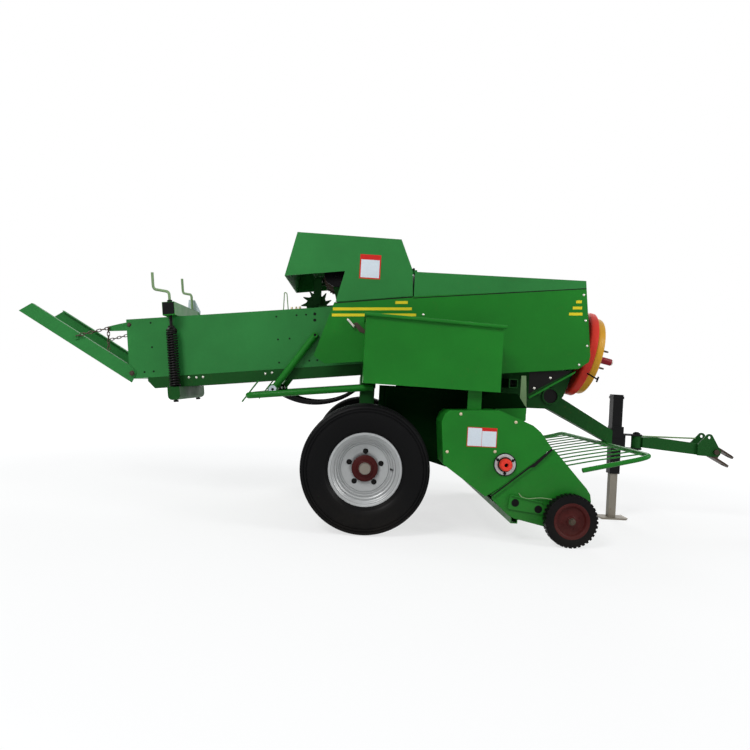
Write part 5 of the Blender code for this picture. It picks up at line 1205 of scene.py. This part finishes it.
class BALER_OT_fasteners(bpy.types.Operator):
    """Screws, bolts, black discs of painted shade for drilled holes, and the hood latch"""
    bl_idname = "baler.fasteners"
    bl_label = "Fasteners and latch"

    def execute(self, context):
        rows = (
            ("shield_screws", dome_screw(0.0085), BODY_HALF, "bright_steel", "frame", "silver_paint",
             [(0.336, 1.346), (1.388, 1.538), (1.409, 1.370), (1.428, 1.204), (1.381, 1.076)]),
            ("cover_screws", dome_screw(0.0095), COVER_FACE, "zinc", "frame", "silver_paint",
             [(0.538, 0.732), (0.862, 0.701), (0.470, 0.509), (0.749, 0.524)]),
            # The black hole discs in these rows are painted shade of the holes.
            ("chamber_holes", hole_disc(0.0065), CHAMBER_HALF, "hole_black", "frame", "black_paint",
             [(-1.483, 1.202), (-1.464, 1.039), (-1.504, 0.869), (-1.443, 0.877), (-0.643, 1.294),
              (-0.507, 1.311), (-0.443, 1.319), (-0.623, 1.140), (-0.545, 1.150), (-0.606, 0.984),
              (-0.403, 1.008), (-0.349, 1.015)]),
            ("chamber_slots", hole_disc(0.0105), CHAMBER_HALF, "hole_black", "frame", "black_paint",
             [(-0.384, 1.327), (-0.382, 1.285)]),
            ("rail_rivets", dome_screw(0.0085), CHAMBER_HALF, "bright_steel", "frame", "silver_paint",
             [(-1.207, 0.849), (-1.156, 0.852), (-1.112, 0.857), (-0.694, 0.903), (-0.650, 0.912)]),
            ("arm_holes", hole_disc(0.0230), SHEET_FACE + 0.0102, "hole_black", "pickup_lift",
             "black_paint", [(0.885, 0.232), (1.022, 0.201)]),
            ("chamber_bolts", hex_bolt(0.0105, 0.011), CHAMBER_HALF, "dark_steel", "frame", "dark_steel",
             [(-1.625, 1.181)]))
        for name, side in SIDES:
            for kind, shape, face, finish, body, slot, places in rows:
                spots = [at(x, side * face, z) for x, z in places]
                row_of(f"{kind}_{name}", shape, spots, (0.0, side, 0.0), finish, body)
        handle = rounded_path([at(-0.156, -0.4355, 1.286), at(-0.156, -0.457, 1.286),
                               at(-0.110, -0.457, 1.238), at(-0.110, -0.4355, 1.238)], 0.010)
        put("latch_handle", [tube(handle, 0.0085, 12, (0.7, 0.0, 0.7))], "bright_steel", "frame")
        plate = laid(prism([(-0.118, 1.262), (-0.095, 1.272), (-0.030, 1.214), (-0.040, 1.200),
                            (-0.075, 1.210)], -0.442, -0.435))
        put("latch_plate", [plate], "dark_steel", "frame", bevel=0.001)
        return {"FINISHED"}


class BALER_OT_details(bpy.types.Operator):
    """Knotter window, painted shade in the tube ends, hangers, seams, cover tabs, painted shade in the
    cover gaps, wires, rods and a handle
    """
    bl_idname = "baler.details"
    bl_label = "Small details"

    def execute(self, context):
        s, h = KNOTTER_SHAFT
        top = 0.4005
        window = prism([(s - 0.20, top + 0.011), (s - 0.012, top + 0.011), (s - 0.040, h - 0.030),
                        (s - 0.046, h - 0.002), (s - 0.20, h - 0.002)], -0.3, 0.3)
        # The knotter frame takes the darker green, partly painted shade under the hood.
        carved("knotter_frame_windows", "knotter_frame", [on_chamber(window)], "deep_green_paint", "frame")
        for name, side in SIDES:
            self.front_frame(name, side)
            self.pickup_cover(name, side)
        rod = [at(2.023, 0.052, 0.600), at(2.20, 0.054, 0.602), at(2.436, 0.052, 0.6055)]
        put("tongue_rod", [tube(rod, 0.006, 10)], "pale_green_paint", "tongue")
        dog_y = -0.205
        hay_dog = rounded_path([at(-0.602, dog_y, 1.340), at(-0.602, dog_y, 1.468),
                                at(-0.585, dog_y, 1.462), at(-0.570, dog_y, 1.350)], 0.008)
        put("hay_dog", [tube(hay_dog, 0.0035, 8)], "pale_green_paint", "frame")
        bolts = [at(-0.545, dog_y, 1.354), at(-0.515, dog_y, 1.358), at(-0.49, dog_y, 1.361)]
        row_of("hay_dog_bolts", hex_bolt(0.008, 0.016), bolts, (-0.12, 0.0, 1.0), "zinc", "frame")
        grip_y = -0.318
        pull = [at(1.497, -0.262, 1.030), at(1.525, -0.300, 1.008), at(1.552, grip_y, 0.990)]
        grip = [at(1.546, grip_y, 0.972), at(1.552, grip_y, 0.990), at(1.558, grip_y, 1.008)]
        put("guard_handle", [tube(pull, 0.0055, 10), tube(grip, 0.0060, 10)], "spring_black", "frame")
        return {"FINISHED"}

    @staticmethod
    def front_frame(name, side):
        """Painted shade inside the cross tube's ends, hanger plate, hood seams, and the braced corner below
        the hood with a black sheet of painted shade.
        """
        drawbar = frame["nodes"]["drawbar"]
        reach = max((drawbar.matrix_world @ Matrix.Translation(c)).translation.y for c in drawbar.bound_box)
        # A black disc set inside each open end of the cross tube: painted shade of the tube's inside.
        plug = cylinder(0.0498, side * (reach - 0.036), side * (reach - 0.028), 24)
        put(f"cross_tube_end_shade_{name}", [laid(plug, 1.284, 0.858)], "spring_black", "frame")
        hanger = [(1.004, 0.771), (1.053, 0.773), (1.040, 0.985), (1.008, 0.985)]
        put(f"pickup_hanger_{name}_plate", [sheet(hanger, side, 0.410, 0.418)], "pale_green_paint",
            "frame", [f"pickup_hanger_{name}"], bevel=0.001)
        seams = ((-0.245, 1.3889, 0.2593, 1.4571), (0.2648, 1.4515, 1.402, 1.5808))
        lines = [sheet(strip(*ends, 0.003), side, BODY_HALF - 0.0006, BODY_HALF + 0.0005)
                 for ends in seams]
        put(f"hood_seams_{name}", lines, "spring_black", "frame")
        back, shade_face, angle_face = 0.4095, 0.4112, 0.4170
        # A black sheet behind the braced angle: painted shade in the corner below the hood.
        shade = [(1.062, 0.866), (1.350, 1.036), (1.062, 1.012)]
        put(f"cradle_shade_{name}", [sheet(shade, side, back, shade_face)], "spring_black", "frame")
        angle = [(1.062, 0.846), (1.069, 0.836), (1.362, 1.018), (1.369, 1.036)]
        put(f"cradle_angle_{name}", [sheet(angle, side, back, angle_face)], "green_paint", "frame",
            bevel=0.001)
        spots = [at(1.0977, side * shade_face, 0.9059), at(1.2024, side * shade_face, 0.9798)]
        row_of(f"cradle_bolts_{name}", dome_screw(0.0095), spots, (0.0, side, 0.0), "bright_steel",
               "frame")

    @staticmethod
    def pickup_cover(name, side):
        """The cover's tab, hood hinge pin, edge strip, a black strip of painted shade in the gap, and the
        wire on the wheel arm.
        """
        tab = [(0.790, 0.700), (0.967, 0.690), (0.988, 0.7017), (0.9873, 0.7783), (0.790, 0.764)]
        put(f"cover_tab_{name}", [sheet(tab, side, 0.6620, 0.6660)], "green_paint", "frame",
            bevel=0.001)
        pin = lathe([(0.0, 0.0), (0.008, 0.0), (0.008, 0.012), (0.006, 0.0135), (0.0, 0.0135)], 16)
        pin_start = min(side * 0.4235, side * 0.4370)
        put(f"hood_hinge_pin_{name}", [laid(pin, 0.257, 1.640, 0.0, pin_start)], "spring_black", "frame")
        edge = [(0.742, 0.276), (0.970, 0.468), (1.080, 0.556), (1.086, 0.540), (0.985, 0.450),
                (0.757, 0.258)]
        put(f"cover_strip_{name}", [sheet(edge, side, 0.9258, 0.9279)], "green_paint", "frame")
        # A black strip in the gap under the cover's edge: painted shade of the dark gap, not a seal.
        gap = [(0.744, 0.270), (0.957, 0.449), (0.984, 0.470), (1.082, 0.561), (1.088, 0.552),
               (0.986, 0.446), (0.962, 0.443), (0.747, 0.265)]
        put(f"cover_gap_shade_{name}", [sheet(gap, side, 0.9270, 0.9320)], "spring_black", "frame")
        near, clear = side * 0.9262, side * 0.9300
        wire = smooth_path([at(0.902, near, 0.290), at(0.922, clear, 0.268), at(0.965, clear, 0.262),
                            at(1.030, clear, 0.269), at(1.103, near, 0.263)], 6)
        put(f"arm_wire_{name}", [tube(wire, 0.0028, 8)], "pale_green_paint", "pickup_lift")


class BALER_PT_panel(bpy.types.Panel):
    """Lists every step of the dressing"""
    bl_idname = "BALER_PT_panel"
    bl_label = "Square baler"
    bl_space_type = "VIEW_3D"
    bl_region_type = "UI"
    bl_category = "Baler"

    def draw(self, context):
        for group in (context.scene.baler_colours, context.scene.baler_sizes):
            rows = self.layout.box()
            for name in group.bl_rna.properties.keys():
                if name not in ("rna_type", "name"):
                    rows.prop(group, name)
        for step in STEPS:
            self.layout.operator(step.bl_idname)


STEPS = (BALER_OT_stage, BALER_OT_paint, BALER_OT_main_wheels, BALER_OT_gauge_wheels, BALER_OT_drive,
         BALER_OT_tension, BALER_OT_chute_chains, BALER_OT_bands, BALER_OT_reel, BALER_OT_auger,
         BALER_OT_windguard, BALER_OT_needles, BALER_OT_knotters, BALER_OT_markings, BALER_OT_fasteners,
         BALER_OT_details)
CLASSES = (BalerColours, BalerSizes) + STEPS + (BALER_PT_panel,)


def register():
    for item in CLASSES:
        bpy.utils.register_class(item)
    bpy.types.Scene.baler_colours = bpy.props.PointerProperty(type=BalerColours)
    bpy.types.Scene.baler_sizes = bpy.props.PointerProperty(type=BalerSizes)


def unregister():
    del bpy.types.Scene.baler_sizes
    del bpy.types.Scene.baler_colours
    for item in reversed(CLASSES):
        bpy.utils.unregister_class(item)


def main():
    register()
    for step in STEPS:
        group, name = step.bl_idname.split(".")
        getattr(getattr(bpy.ops, group), name)()


if __name__ == "__main__":
    main()
